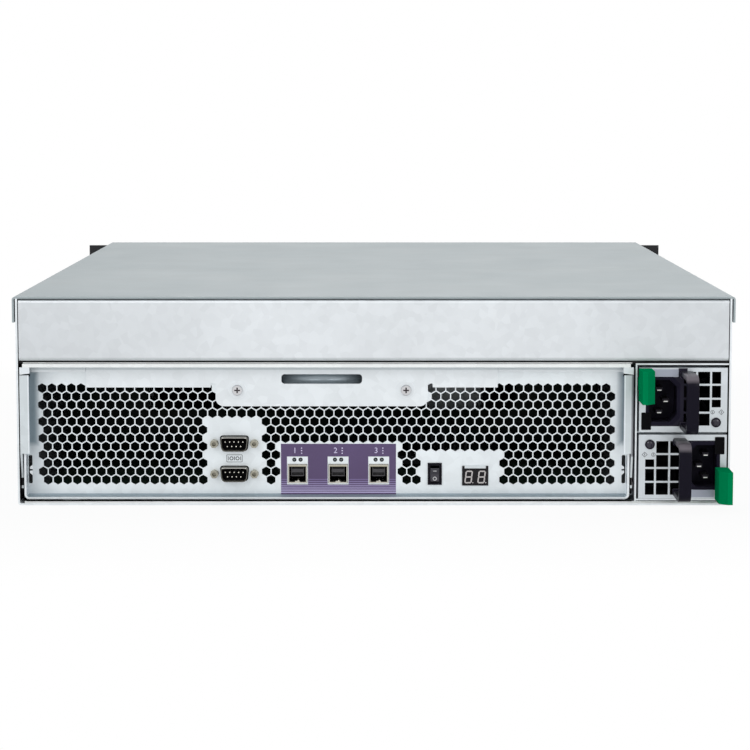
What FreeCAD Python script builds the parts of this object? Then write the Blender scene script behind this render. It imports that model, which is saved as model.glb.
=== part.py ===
# Rackmount storage server, three rack units high, seen from its rear: a sheet metal
# chassis with sixteen drive bays in front, one controller canister and two power modules
# in the rear. Lengths are millimetres. The rear rim faces -Y, the drive bays face +Y,
# and the origin is the middle of the chassis underside.

import FreeCAD, Part
import itertools
import math
import os
import re
import Sketcher

from FreeCAD import Rotation, Vector

doc = FreeCAD.newDocument("rackmount_server")
sheet = doc.addObject("Spreadsheet::Sheet", "Sizes")

SIZES = {
    # Chassis shell
    "chassis_width": 442.4,
    "chassis_height": 130.0,
    "chassis_depth": 588.0,
    "chassis_sheet": 1.2,
    "bend_radius": 0.8,
    "seam_gap": 0.6,
    "fit_clearance": 0.3,
    "cover_lip_drop": 16.0,
    "cover_side_gap": 0.85,
    "cover_seam_from_rear": 254.0,
    "cover_screw_radius": 1.5,
    "cover_screw_head_radius": 3.0,
    "cover_screw_head_height": 1.2,
    "cover_screw_drop": 8.0,
    "cover_screw_inset": 40.0,
    "rail_hole_radius": 2.1,
    "rail_hole_spacing": 400.0,
    "rail_hole_height": 62.0,
    "bay_roof_height": 88.6,
    "bay_roof_flange": 3.0,
    "rear_panel_flange": 14.0,
    "runner_width": 10.0,
    "runner_inset": 24.0,
    # Rack ears and front handles
    "ear_span": 482.6,
    "ear_height": 125.0,
    "ear_sheet": 2.5,
    "ear_flange_depth": 40.0,
    "ear_slot_edge": 8.75,
    "ear_slot_spacing": 57.15,
    "ear_slot_radius": 3.4,
    "ear_slot_length": 10.0,
    "ear_handle_height": 96.0,
    "ear_handle_reach": 28.0,
    "ear_handle_bar": 5.0,
    "ear_handle_inset": 0.7,
    "ear_handle_corner": 10.0,
    # Controller canister
    "canister_width": 376.4,
    "canister_depth": 217.5,
    "canister_base": 3.4,
    "canister_sheet": 1.2,
    "canister_corner": 3.0,
    "canister_channel": 2.6,
    "canister_rim_setback": 2.5,
    "panel_recess": 12.0,
    # Hexagon grille of the canister panel
    "hex_across": 10.2,
    "hex_pitch": 12.132,
    "hex_first_x": -205.5,
    "hex_last_x": 147.0,
    "hex_first_z": 17.2,
    "hex_last_z": 69.9,
    "edge_slot_width": 4.5,
    "edge_slot_height": 6.0,
    "edge_slot_low": 15.0,
    "edge_slot_pitch": 11.0,
    # Bracket along the canister's upper rim
    "bracket_left": -179.2,
    "bracket_right": 77.3,
    "bracket_lip": 2.1,
    "bracket_wing_bottom": 72.5,
    "bracket_tab_bottom": 60.7,
    "bracket_tab_width": 132.3,
    "bracket_tab_centre": -32.4,
    "bracket_tab_corner": 5.0,
    "bracket_notch_width": 3.0,
    "bracket_notch_height": 2.5,
    "pull_slot_width": 50.3,
    "pull_slot_height": 6.0,
    "pull_slot_centre": 77.8,
    "pull_slot_corner": 2.0,
    # Captive screws of the bracket
    "captive_spacing": 105.1,
    "captive_height": 71.0,
    "captive_head_radius": 3.4,
    "captive_head_height": 2.6,
    "captive_shank_radius": 1.5,
    "captive_reach": 1.0,
    "captive_travel": 4.0,
    "captive_ring_radius": 2.6,
    "captive_ring_thickness": 0.8,
    "captive_collar_radius": 5.5,
    "captive_collar_height": 0.8,
    "retention_tab_width": 14.0,
    "retention_tab_gap": 5.0,
    "running_clearance": 0.05,
    # Ejector levers
    "lever_flange_width": 5.7,
    "lever_flange_bottom": 32.3,
    "lever_flange_top": 81.2,
    "lever_sheet": 1.2,
    "lever_nose_radius": 8.5,
    "lever_foot": 6.0,
    "lever_foot_corner": 4.2,
    "lever_top_depth": 7.0,
    "lever_pivot_height": 12.0,
    "lever_pivot_inset": 10.0,
    "lever_pin_radius": 2.0,
    "lever_pin_head_radius": 3.2,
    "lever_pin_head_height": 0.4,
    "lever_channel": 3.2,
    "lever_catch_depth": 6.0,
    "lever_catch_height": 15.0,
    # Controller electronics
    "board_thickness": 1.6,
    "board_standoff": 5.1,
    "board_standoff_radius": 3.0,
    "board_side_gap": 12.0,
    "board_back_gap": 8.0,
    "heatsink_size": 60.0,
    "heatsink_height": 26.0,
    "heatsink_base": 5.0,
    "heatsink_fin": 1.5,
    "heatsink_fins": 9,
    "chip_size": 32.0,
    "chip_height": 2.4,
    "chip_offset": 60.0,
    # Ports on the canister panel
    "serial_centre_x": -87.1,
    "serial_upper_z": 37.2,
    "serial_lower_z": 18.1,
    "serial_shell_width": 18.4,
    "serial_shell_height": 9.8,
    "serial_shell_reach": 5.6,
    "serial_shell_wall": 0.6,
    "serial_shell_taper": 1.1,
    "serial_flange_width": 31.0,
    "serial_flange_height": 12.6,
    "serial_housing_depth": 12.0,
    "serial_screw_spacing": 24.99,
    "serial_nut_radius": 2.7,
    "serial_nut_reach": 5.0,
    "serial_pin_radius": 0.5,
    "serial_pin_pitch": 2.77,
    "serial_row_pitch": 2.84,
    "sas_first_x": -47.7,
    "sas_pitch": 25.4,
    "sas_centre_z": 18.1,
    "sas_opening_width": 10.6,
    "sas_opening_height": 10.6,
    "sas_cage_wall": 0.5,
    "sas_cage_depth": 28.0,
    "sas_cage_reach": 0.8,
    "sas_back_wall": 2.0,
    "sas_tongue_width": 7.0,
    "sas_tongue_length": 14.0,
    "sas_tongue_drop": 0.5,
    "sas_tongue_thickness": 1.5,
    "label_left": -58.0,
    "label_right": 13.9,
    "label_bottom": 4.9,
    "label_top": 36.9,
    "label_thickness": 0.2,
    "label_window_width": 13.1,
    "label_window_bottom": 11.2,
    "label_window_top": 28.9,
    "switch_x": 38.2,
    "switch_z": 18.0,
    "switch_bezel_width": 8.8,
    "switch_bezel_height": 13.7,
    "switch_bezel_reach": 1.2,
    "switch_body_depth": 16.0,
    "switch_wall": 1.4,
    "rocker_half_height": 4.3,
    "rocker_stand": 2.8,
    "rocker_dip": 0.9,
    "rocker_back": 1.5,
    "rocker_back_half": 3.0,
    "rocker_pivot_inset": 1.0,
    "rocker_pin_radius": 0.8,
    "rocker_angle": 10.0,
    "display_x": 63.5,
    "display_z": 16.8,
    "display_width": 16.4,
    "display_height": 12.4,
    "display_depth": 7.0,
    "display_reach": 0.8,
    "display_body_inset": 0.8,
    # Power module bay
    "cage_sheet": 1.0,
    "module_width": 54.5,
    "module_height": 40.0,
    "module_depth": 220.0,
    "module_sheet": 0.8,
    "module_side_gap": 1.0,
    "module_base": 4.2,
    "module_pitch": 41.7,
    "shelf_setback": 8.0,
    # Power module rear face, seen in the upper module's own frame
    "grid_left": 0.2,
    "grid_hole": 7.5,
    "grid_bar": 1.2,
    "grid_top": 17.6,
    "grid_narrow": 5.6,
    "grid_short": 4.8,
    "lamp_x": 20.4,
    "lamp_z": -14.0,
    "lamp_radius": 2.7,
    "lamp_reach": 0.8,
    "lamp_length": 9.0,
    "inlet_left": -23.3,
    "inlet_right": -2.0,
    "inlet_bottom": -15.6,
    "inlet_top": 14.6,
    "inlet_depth": 24.0,
    "inlet_wall": 2.0,
    "inlet_well": 17.0,
    "inlet_chamfer": 4.5,
    "inlet_pin_pitch": 14.0,
    "inlet_pin_offset": 4.0,
    "inlet_pin_width": 4.0,
    "inlet_pin_height": 2.0,
    "inlet_pin_back": 2.5,
    "handle_x": 2.0,
    "handle_width": 7.5,
    "handle_height": 36.0,
    "handle_reach": 32.0,
    "handle_bar": 3.0,
    "handle_corner": 9.0,
    "latch_tab_left": -27.9,
    "latch_tab_right": -20.0,
    "latch_tab_height": 20.0,
    "latch_tab_reach": 26.0,
    "latch_tab_stand": 2.5,
    "latch_tab_corner": 5.0,
    "latch_arm_x": -26.1,
    "latch_arm_sheet": 0.8,
    "latch_pivot_x": -24.9,
    "latch_pivot_y": 8.0,
    "latch_eye_radius": 1.2,
    "latch_pin_radius": 0.6,
    "latch_slot_right": -23.9,
    "latch_nose_reach": 0.5,
    "latch_nose_near": 2.0,
    "latch_nose_far": 5.0,
    "latch_nose_low": 6.0,
    "latch_nose_high": 14.0,
    "latch_nose_gap": 0.6,
    "latch_arm_inset": 1.2,
    "module_fan_x": 6.0,
    "module_fan_y": 32.0,
    "module_fan_size": 37.0,
    "module_fan_depth": 20.0,
    "module_fan_bore": 17.5,
    "module_fan_hub": 8.0,
    "module_fan_strut": 1.5,
    "module_fan_spindle_radius": 2.0,
    "module_fan_blade_gap": 1.0,
    "module_fan_drop": 0.5,
    # Supply electronics behind the module fan
    "supply_board_width": 49.0,
    "supply_board_start": 72.0,
    "transformer_width": 27.0,
    "transformer_length": 40.0,
    "transformer_height": 28.0,
    "heat_bar_x": 18.2,
    "heat_bar_thickness": 2.4,
    # System fans
    "fan_wall_y": 30.0,
    "fan_size": 80.0,
    "fan_depth": 38.0,
    "fan_bore_radius": 38.0,
    "fan_hub_radius": 17.0,
    "fan_blade_gap": 1.5,
    "fan_spindle_radius": 2.5,
    "fan_pitch": 120.0,
    "fan_centre_height": 64.0,
    "fan_strut": 3.0,
    "fan_blade_sheet": 1.6,
    "fan_blade_angle": 34.0,
    "fan_blade_root": 2.0,
    "fan_blades": 5,
    # Midplane and backplane boards
    "midplane_gap": 4.0,
    "midplane_height": 84.0,
    "midplane_connector_width": 34.0,
    "midplane_connector_height": 10.0,
    "midplane_window_width": 110.0,
    "midplane_window_height": 40.0,
    "midplane_window_z": 52.0,
    "midplane_window_offset": 75.0,
    "backplane_vent_width": 88.0,
    "backplane_vent_height": 11.0,
    "socket_width": 30.0,
    "socket_height": 5.0,
    "socket_raise": 3.0,
    # Drive bays
    "bay_pitch_x": 109.4,
    "bay_pitch_z": 31.2,
    "bay_sheet": 1.0,
    "bay_depth": 158.0,
    "tray_side_gap": 1.0,
    "tray_bezel_depth": 9.0,
    "tray_bezel_wall": 2.0,
    "tray_rail_sheet": 1.2,
    "tray_rail_height": 22.0,
    "tray_length": 150.0,
    "tray_slot_width": 5.0,
    "tray_slot_pitch": 8.0,
    "tray_slots": 4,
    "drive_width": 101.6,
    "drive_height": 26.1,
    "drive_length": 147.0,
    "drive_setback": 2.0,
    "tray_lever_length": 66.0,
    "tray_lever_height": 11.0,
    "tray_lever_thickness": 3.0,
}

for row, (name, size) in enumerate(SIZES.items(), start=1):
    sheet.set(f"A{row}", name)
    sheet.set(f"B{row}", str(size))
    sheet.setAlias(f"B{row}", name)
doc.recompute()


# Formulas: each is written with the size names, which the sheet then resolves


def bound(formula):
    """The formula with every size name pointing at its cell"""
    def cell(word):
        return f"Sizes.{word.group()}" if word.group() in SIZES else word.group()

    return re.sub(r"[a-z_]+", cell, str(formula))


def measure(formula):
    """The formula's value in millimetres"""
    return float(sheet.evalExpression(bound(formula)))


def bind(piece, properties):
    for name, formula in properties.items():
        piece.setExpression(name, bound(formula))
    return piece


def move(piece, x=0, y=0, z=0):
    axes = {"Placement.Base.x": x, "Placement.Base.y": y, "Placement.Base.z": z}
    return bind(piece, axes)


# Basic solids


def block(name, x, y, z):
    """A block between the two ends given along each axis"""
    piece = doc.addObject("Part::Box", name)
    move(piece, x[0], y[0], z[0])
    sides = {"Length": x, "Width": y, "Height": z}
    return bind(piece, {side: f"({ends[1]}) - ({ends[0]})" for side, ends in sides.items()})


TURN_TO = {
    "x": Rotation(Vector(0, 1, 0), 90),
    "y": Rotation(Vector(1, 0, 0), -90),
    "z": Rotation(),
}


def rod(name, axis, start, radius, length):
    """A round bar from its start point along one axis"""
    piece = doc.addObject("Part::Cylinder", name)
    piece.Placement.Rotation = TURN_TO[axis]
    move(piece, *start)
    return bind(piece, {"Radius": radius, "Height": length})


def fuse(name, *pieces):
    piece = doc.addObject("Part::MultiFuse", name)
    piece.Shapes = list(pieces)
    piece.Refine = True
    return piece


def cut(name, base, *tools):
    piece = doc.addObject("Part::Cut", name)
    piece.Base = base
    piece.Tool = tools[0] if len(tools) == 1 else fuse(f"{name}_tools", *tools)
    piece.Refine = True
    return piece


def group(name, *pieces):
    """Separate solids kept together as one piece of the product"""
    piece = doc.addObject("Part::Compound", name)
    piece.Links = list(pieces)
    return piece


def placed(name, piece, x=0, y=0, z=0, turn=0):
    """One copy of a repeated piece, turned about the Y axis and moved to its place"""
    copy = group(name, piece)
    copy.Placement.Rotation = Rotation(Vector(0, 1, 0), turn)
    return move(copy, x, y, z)


def mirrored(name, piece, x):
    """The same piece on the other side of the plane at x"""
    other = doc.addObject("Part::Mirroring", name)
    other.Source = piece
    other.Normal = Vector(1, 0, 0)
    return bind(other, {"Base.x": x})


# Bodies drawn as an outline and pulled to their length


def plane_of(body, role):
    return next(item for item in body.Origin.OriginFeatures if item.Role == role)


def sketch_on(body, role, name, start=0):
    """An empty sketch square to one axis, at the given place along it"""
    sketch = body.newObject("Sketcher::SketchObject", name)
    sketch.AttachmentSupport = [(plane_of(body, role), "")]
    sketch.MapMode = "FlatFace"
    side = "-1" if role == "XZ_Plane" else "1"
    return bind(sketch, {"AttachmentOffset.Base.z": f"{side} * ({start})"})


def pin_down(sketch, kind, place, formula):
    """One dimension of a sketch, bound to the sizes"""
    number = sketch.addConstraint(Sketcher.Constraint(kind, *place, measure(formula)))
    sketch.setExpression(f"Constraints[{number}]", bound(formula))


def outlines(body, role, loops, name, start=0):
    """A sketch of closed outlines whose corners are bound to the sizes"""
    sketch = sketch_on(body, role, name, start)
    for points in loops:
        first = sketch.GeometryCount
        corners = [Vector(measure(across), measure(up), 0) for across, up in points]
        for corner, after in zip(corners, corners[1:] + corners[:1]):
            sketch.addGeometry(Part.LineSegment(corner, after), False)
        for index in range(len(corners)):
            after = (index + 1) % len(corners)
            ends = (first + index, 2, first + after, 1)
            sketch.addConstraint(Sketcher.Constraint("Coincident", *ends))
        for index, (across, up) in enumerate(points, start=first):
            pin_down(sketch, "DistanceX", (index, 1), across)
            pin_down(sketch, "DistanceY", (index, 1), up)
    return sketch


def outline(body, role, points, name, start=0):
    return outlines(body, role, [points], name, start)


def circles(body, role, centres, radius, name, start=0):
    """A sketch of equal circles"""
    sketch = sketch_on(body, role, name, start)
    for index, (across, up) in enumerate(centres):
        centre = Vector(measure(across), measure(up), 0)
        sketch.addGeometry(Part.Circle(centre, Vector(0, 0, 1), measure(radius)), False)
        pin_down(sketch, "DistanceX", (index, 3), across)
        pin_down(sketch, "DistanceY", (index, 3), up)
        pin_down(sketch, "Radius", (index,), radius)
    return sketch


def rectangle(across, up):
    return [(across[0], up[0]), (across[1], up[0]), (across[1], up[1]), (across[0], up[1])]


def new_body(name):
    return doc.addObject("PartDesign::Body", name)


def pad(body, sketch, start, end):
    """The sketch pulled from its own place along the axis, always in the plus direction"""
    feature = body.newObject("PartDesign::Pad", f"{sketch.Name}_pad")
    feature.Profile = sketch
    feature.Reversed = sketch.AttachmentSupport[0][0].Role == "XZ_Plane"
    bind(feature, {"Length": f"({end}) - ({start})"})
    doc.recompute()
    return body


def pulled(name, role, points, start, end):
    """A body with one outline pulled along the axis square to it"""
    body = new_body(name)
    return pad(body, outline(body, role, points, f"{name}_outline", start), start, end)


def pocket(body, sketch, start=None, end=None):
    """The sketch cut through the whole body, or only between two places along the axis"""
    volume = body.Shape.Volume
    feature = body.newObject("PartDesign::Pocket", f"{sketch.Name}_pocket")
    feature.Profile = sketch
    if end is None:
        feature.SideType = "Symmetric"
        bind(feature, {"Length": "2 * chassis_depth"})
    else:
        feature.Reversed = sketch.AttachmentSupport[0][0].Role != "XZ_Plane"
        bind(feature, {"Length": f"({end}) - ({start})"})
    doc.recompute()
    if body.Shape.Volume > volume - 0.01:
        raise RuntimeError(f"{feature.Name} cuts nothing")
    return feature


def straight_edges(shape, axis, corners):
    """The straight edges along one axis that pass through the given corners"""
    across = {"x": (1, 2), "y": (0, 2), "z": (0, 1)}[axis]
    chosen = []
    for number, edge in enumerate(shape.Edges, start=1):
        ends = [vertex.Point for vertex in edge.Vertexes]
        if len(ends) < 2 or abs((ends[1] - ends[0])["xyz".index(axis)]) < 0.99 * edge.Length:
            continue
        for corner in corners:
            if all(abs(ends[0][side] - measure(place)) < 0.01 for side, place in zip(across, corner)):
                chosen.append(f"Edge{number}")
    return chosen


def round_corners(body, axis, corners, radius, name):
    """Rounds the straight edges along one axis at the given corners"""
    base = body.Tip
    feature = body.newObject("PartDesign::Fillet", name)
    feature.Base = (base, straight_edges(base.Shape, axis, corners))
    bind(feature, {"Radius": radius})
    doc.recompute()
    return feature


# Places that several pieces share

REAR = "(-chassis_depth / 2)"
FRONT = "(chassis_depth / 2)"
WALL = "(chassis_width / 2 - chassis_sheet)"
LID = "(chassis_height - chassis_sheet)"
OUTER_BEND = "bend_radius + chassis_sheet"


# Chassis shell: floor and side walls folded from one sheet

chassis_outline = [
    ("-chassis_width / 2", "0"),
    ("chassis_width / 2", "0"),
    ("chassis_width / 2", LID),
    (WALL, LID),
    (WALL, "chassis_sheet"),
    (f"-{WALL}", "chassis_sheet"),
    (f"-{WALL}", LID),
    ("-chassis_width / 2", LID),
]
shell = pulled("shell", "XZ_Plane", chassis_outline, REAR, FRONT)
outer_bends = [("-chassis_width / 2", "0"), ("chassis_width / 2", "0")]
inner_bends = [(WALL, "chassis_sheet"), (f"-{WALL}", "chassis_sheet")]
round_corners(shell, "y", outer_bends, OUTER_BEND, "shell_outer_bends")
round_corners(shell, "y", inner_bends, "bend_radius", "shell_inner_bends")
rail_holes = [(f"{side} * rail_hole_spacing / 2", "rail_hole_height") for side in (-1, 1)]
pocket(shell, circles(shell, "YZ_Plane", rail_holes, "rail_hole_radius", "rail_holes"))

cover_screw_y = [f"({REAR} + cover_screw_inset)", f"({FRONT} - cover_screw_inset)"]
SCREW_Z = "(chassis_height - cover_screw_drop)"
thread_centres = [(y, SCREW_Z) for y in cover_screw_y]
thread_radius = "cover_screw_radius + running_clearance"
pocket(shell, circles(shell, "YZ_Plane", thread_centres, thread_radius, "cover_threads"))

CANISTER_LEFT = f"(canister_channel - {WALL})"
CANISTER_RIGHT = f"({CANISTER_LEFT} + canister_width)"
BAY_END = f"({REAR} + canister_rim_setback + canister_depth)"
DIVIDER = f"({CANISTER_RIGHT} + lever_channel)"
PIVOT_Y = f"({REAR} + lever_pivot_inset)"
CATCH_Y = f"({PIVOT_Y} + lever_nose_radius + seam_gap)"

runners = [
    block(
        f"runner_{side}",
        (start, f"{start} + runner_width"),
        (f"{REAR} + canister_rim_setback", BAY_END),
        ("chassis_sheet", "canister_base - fit_clearance"),
    )
    for side, start in (
        ("left", f"{CANISTER_LEFT} + runner_inset"),
        ("right", f"{CANISTER_RIGHT} - runner_inset - runner_width"),
    )
]
catch_span = (CATCH_Y, f"{CATCH_Y} + lever_catch_depth")
catch_rise = ("canister_base", "canister_base + lever_catch_height")
catch_left = block("catch_left", (f"-{WALL}", f"{CANISTER_LEFT} - seam_gap"), catch_span, catch_rise)
chassis_base = group("chassis_base", fuse("chassis_floor", shell, *runners), catch_left)


# Plain zinc panel that closes the upper third of the rear

PANEL_LOW = "(bay_roof_height + chassis_sheet + fit_clearance)"
PANEL_HIGH = f"({LID} - seam_gap)"
PANEL_BACK = f"({REAR} + rear_panel_flange)"
PANEL_SIDE = f"({WALL} - seam_gap)"
panel_outline = [
    (REAR, PANEL_LOW),
    (PANEL_BACK, PANEL_LOW),
    (PANEL_BACK, f"{PANEL_LOW} + chassis_sheet"),
    (f"{REAR} + chassis_sheet", f"{PANEL_LOW} + chassis_sheet"),
    (f"{REAR} + chassis_sheet", f"{PANEL_HIGH} - chassis_sheet"),
    (PANEL_BACK, f"{PANEL_HIGH} - chassis_sheet"),
    (PANEL_BACK, PANEL_HIGH),
    (REAR, PANEL_HIGH),
]
rear_top_panel = pulled("rear_top_panel", "YZ_Plane", panel_outline, f"-{PANEL_SIDE}", PANEL_SIDE)
panel_bends = [(REAR, PANEL_LOW), (REAR, PANEL_HIGH)]
round_corners(rear_top_panel, "x", panel_bends, OUTER_BEND, "rear_top_panel_outer_bends")


# Two top covers whose lips reach over the side walls

LIP_INNER = "(chassis_width / 2 + cover_side_gap)"
LIP_OUTER = f"({LIP_INNER} + chassis_sheet)"
LIP_LOW = "(chassis_height - cover_lip_drop)"
cover_outline = [
    (f"-{LIP_OUTER}", LIP_LOW),
    (f"-{LIP_INNER}", LIP_LOW),
    (f"-{LIP_INNER}", LID),
    (LIP_INNER, LID),
    (LIP_INNER, LIP_LOW),
    (LIP_OUTER, LIP_LOW),
    (LIP_OUTER, "chassis_height"),
    (f"-{LIP_OUTER}", "chassis_height"),
]
COVER_SEAM = f"({REAR} + cover_seam_from_rear)"


def top_cover(name, start, end, screw_y):
    cover = pulled(name, "XZ_Plane", cover_outline, start, end)
    outer = [(f"-{LIP_OUTER}", "chassis_height"), (LIP_OUTER, "chassis_height")]
    inner = [(f"-{LIP_INNER}", LID), (LIP_INNER, LID)]
    round_corners(cover, "y", outer, OUTER_BEND, f"{name}_outer_bends")
    round_corners(cover, "y", inner, "bend_radius", f"{name}_inner_bends")
    radius = "cover_screw_radius + fit_clearance"
    pocket(cover, circles(cover, "YZ_Plane", [(screw_y, SCREW_Z)], radius, f"{name}_holes"))
    return cover


top_cover_rear = top_cover("top_cover_rear", REAR, COVER_SEAM, cover_screw_y[0])
top_cover_front = top_cover("top_cover_front", f"{COVER_SEAM} + seam_gap", FRONT, cover_screw_y[1])


def cover_screw(number, y):
    head = rod(
        f"cover_screw_head_{number}",
        "x",
        (LIP_OUTER, y, SCREW_Z),
        "cover_screw_head_radius",
        "cover_screw_head_height",
    )
    shank = rod(
        f"cover_screw_shank_{number}",
        "x",
        (WALL, y, SCREW_Z),
        "cover_screw_radius",
        f"{LIP_OUTER} - {WALL}",
    )
    return fuse(f"cover_screw_{number}", head, shank)


screws_right = group("screws_right", *[cover_screw(n, y) for n, y in enumerate(cover_screw_y, 1)])
screws_left = mirrored("screws_left", screws_right, "0")
cover_screws = group("cover_screws", screws_right, screws_left)


# Sheet between the upper compartment and the rear bays, with a forked tab for each captive screw

CAPTIVE_X = [f"(bracket_tab_centre {side} captive_spacing / 2)" for side in ("-", "+")]
PANEL_FACE = f"({REAR} + panel_recess)"
PANEL_REVERSE = f"({PANEL_FACE} + canister_sheet)"
TAB_Y = f"({PANEL_REVERSE} + retention_tab_gap)"
ROOF_TOP = "(bay_roof_height + chassis_sheet)"

roof_plate = block(
    "roof_plate",
    (f"-{WALL}", WALL),
    (f"{REAR} + chassis_sheet", f"{BAY_END} + midplane_gap"),
    ("bay_roof_height", ROOF_TOP),
)
roof_right_flange = block(
    "roof_right_flange",
    (f"{WALL} - chassis_sheet", WALL),
    (f"{PANEL_BACK} + seam_gap", f"{BAY_END} + midplane_gap"),
    (ROOF_TOP, f"{ROOF_TOP} + bay_roof_flange"),
)
roof_left_flange = mirrored("roof_left_flange", roof_right_flange, "0")
roof_front_flange = block(
    "roof_front_flange",
    (f"-{WALL}", WALL),
    (f"{BAY_END} + midplane_gap - chassis_sheet", f"{BAY_END} + midplane_gap"),
    (ROOF_TOP, f"{ROOF_TOP} + bay_roof_flange"),
)


def retention_prong(name, x, side):
    """One prong of the forked tab that grips a captive screw's shank"""
    near = "captive_shank_radius + running_clearance"
    ends = sorted((f"{x} {side} ({near})", f"{x} {side} retention_tab_width / 2"), key=measure)
    return block(
        name,
        ends,
        (TAB_Y, f"{TAB_Y} + chassis_sheet"),
        ("captive_height - retention_tab_width / 2", "bay_roof_height"),
    )


roof_sheet = fuse(
    "roof_sheet", roof_plate, roof_right_flange, roof_left_flange, roof_front_flange
)
retention_prongs = [
    retention_prong(f"retention_prong_{n}_{word}", x, side)
    for n, x in enumerate(CAPTIVE_X, 1)
    for word, side in (("left", "-"), ("right", "+"))
]
bay_roof = group("bay_roof", roof_sheet, *retention_prongs)


# Power cage: divider, roof, floor and middle shelf around the two power modules

CAGE_INNER = f"({DIVIDER} + cage_sheet)"
MODULE_X = f"({WALL} - module_side_gap - module_width / 2)"
MODULE_LOW_Z = "(module_base + module_height / 2)"
MODULE_HIGH_Z = f"({MODULE_LOW_Z} + module_pitch)"
CAGE_FLOOR = "(module_base - fit_clearance)"
SHELF_LOW = "(module_base + module_height + fit_clearance)"
SHELF_HIGH = "(module_base + module_pitch - fit_clearance)"
CAGE_ROOF = "(bay_roof_height - cage_sheet)"

cage_y = (f"{REAR} + chassis_sheet", BAY_END)
divider = block("divider", (DIVIDER, CAGE_INNER), cage_y, ("chassis_sheet", "bay_roof_height"))
cage_top = block("cage_top", (CAGE_INNER, WALL), cage_y, (CAGE_ROOF, "bay_roof_height"))
cage_floor = block(
    "cage_floor", (CAGE_INNER, WALL), cage_y, (f"{CAGE_FLOOR} - cage_sheet", CAGE_FLOOR)
)
shelf_y = (f"{REAR} + shelf_setback", BAY_END)
cage_shelf = block("cage_shelf", (CAGE_INNER, WALL), shelf_y, (SHELF_LOW, SHELF_HIGH))
catch_right = block(
    "catch_right", (f"{CANISTER_RIGHT} + seam_gap", DIVIDER), catch_span, catch_rise
)
cage_walls = fuse("cage_walls", divider, cage_top, cage_floor, cage_shelf)
power_cage = group("power_cage", cage_walls, catch_right)


# Rack ears, bolted to the side walls, each with a slotted face and a pull handle

EAR_LOW = "((chassis_height - ear_height) / 2)"
EAR_FACE = f"({FRONT} + ear_sheet)"
SLOT_Z = [f"(chassis_height / 2 {side} ear_slot_spacing / 2)" for side in ("-", "+")]

ear_plate = block(
    "ear_plate",
    ("chassis_width / 2", "ear_span / 2"),
    (FRONT, EAR_FACE),
    (EAR_LOW, f"{EAR_LOW} + ear_height"),
)
ear_flange = block(
    "ear_flange",
    ("chassis_width / 2", "chassis_width / 2 + ear_sheet"),
    (f"{FRONT} - ear_flange_depth", FRONT),
    (EAR_LOW, f"{LIP_LOW} - seam_gap"),
)


def ear_slot(name, z):
    inner = "(ear_span / 2 - ear_slot_edge - ear_slot_length / 2 + ear_slot_radius)"
    outer = "(ear_span / 2 - ear_slot_edge + ear_slot_length / 2 - ear_slot_radius)"
    start = f"{FRONT} - ear_sheet"
    ends = [
        rod(f"{name}_{end}", "y", (x, start, z), "ear_slot_radius", "3 * ear_sheet")
        for end, x in (("inner", inner), ("outer", outer))
    ]
    middle = block(
        f"{name}_middle",
        (inner, outer),
        (start, f"{start} + 3 * ear_sheet"),
        (f"{z} - ear_slot_radius", f"{z} + ear_slot_radius"),
    )
    return fuse(name, middle, *ends)


slots = [ear_slot(f"ear_slot_{n}", z) for n, z in enumerate(SLOT_Z, 1)]
ear_bracket = cut("ear_bracket", fuse("ear_blank", ear_plate, ear_flange), *slots)


def loop_handle(name, foot, reach, bar, middle, height, corner, across):
    """A pull handle: a flat bar bent to a bow, standing out from its foot along Y"""
    out = f"({foot} + {reach})"
    neck = f"({out} - {bar})" if not reach.startswith("-") else f"({out} + {bar})"
    low, high = f"({middle} - {height} / 2)", f"({middle} + {height} / 2)"
    bow = [
        (foot, low),
        (out, low),
        (out, high),
        (foot, high),
        (foot, f"{high} - {bar}"),
        (neck, f"{high} - {bar}"),
        (neck, f"{low} + {bar}"),
        (foot, f"{low} + {bar}"),
    ]
    body = pulled(name, "YZ_Plane", bow, across[0], across[1])
    round_corners(body, "x", [bow[1], bow[2]], corner, f"{name}_outer_bends")
    round_corners(body, "x", [bow[5], bow[6]], f"{corner} - {bar}", f"{name}_inner_bends")
    return body


ear_handle = loop_handle(
    "ear_handle",
    EAR_FACE,
    "ear_handle_reach",
    "ear_handle_bar",
    "chassis_height / 2",
    "ear_handle_height",
    "ear_handle_corner",
    (
        "chassis_width / 2 + ear_handle_inset",
        "chassis_width / 2 + ear_handle_inset + ear_handle_bar",
    ),
)
rack_ear_right = group("rack_ear_right", ear_bracket, ear_handle)
rack_ear_left = mirrored("rack_ear_left", rack_ear_right, "0")


# Drive cage: sixteen open cells, four across and four high

CAGE_BACK = f"({FRONT} - bay_depth)"
COLUMNS = range(4)
ROWS = range(4)


def cell_x(column):
    """The middle of one column of drive bays"""
    return f"({column - (len(COLUMNS) - 1) / 2} * bay_pitch_x)"


def cell_z(row):
    """The lower face of the opening of one row of drive bays"""
    return f"(chassis_sheet + bay_sheet + {row} * bay_pitch_z)"


CELL_HALF = "(bay_pitch_x - bay_sheet) / 2"
CAGE_HALF = f"({len(COLUMNS) / 2} * bay_pitch_x + bay_sheet / 2)"
CAGE_TOP = f"(chassis_sheet + {len(ROWS)} * bay_pitch_z + bay_sheet)"
cage_outline = rectangle((f"-{CAGE_HALF}", CAGE_HALF), ("chassis_sheet", CAGE_TOP))
cells = [
    rectangle(
        (f"{cell_x(column)} - {CELL_HALF}", f"{cell_x(column)} + {CELL_HALF}"),
        (cell_z(row), f"{cell_z(row)} + bay_pitch_z - bay_sheet"),
    )
    for row in ROWS
    for column in COLUMNS
]
drive_cage = pulled("drive_cage", "XZ_Plane", cage_outline, CAGE_BACK, FRONT)
pocket(drive_cage, outlines(drive_cage, "XZ_Plane", cells, "drive_cells"))
cage_corners = [(x, "chassis_sheet") for x in (f"-{CAGE_HALF}", CAGE_HALF)]
INSIDE_BEND = "bend_radius + running_clearance"
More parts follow.
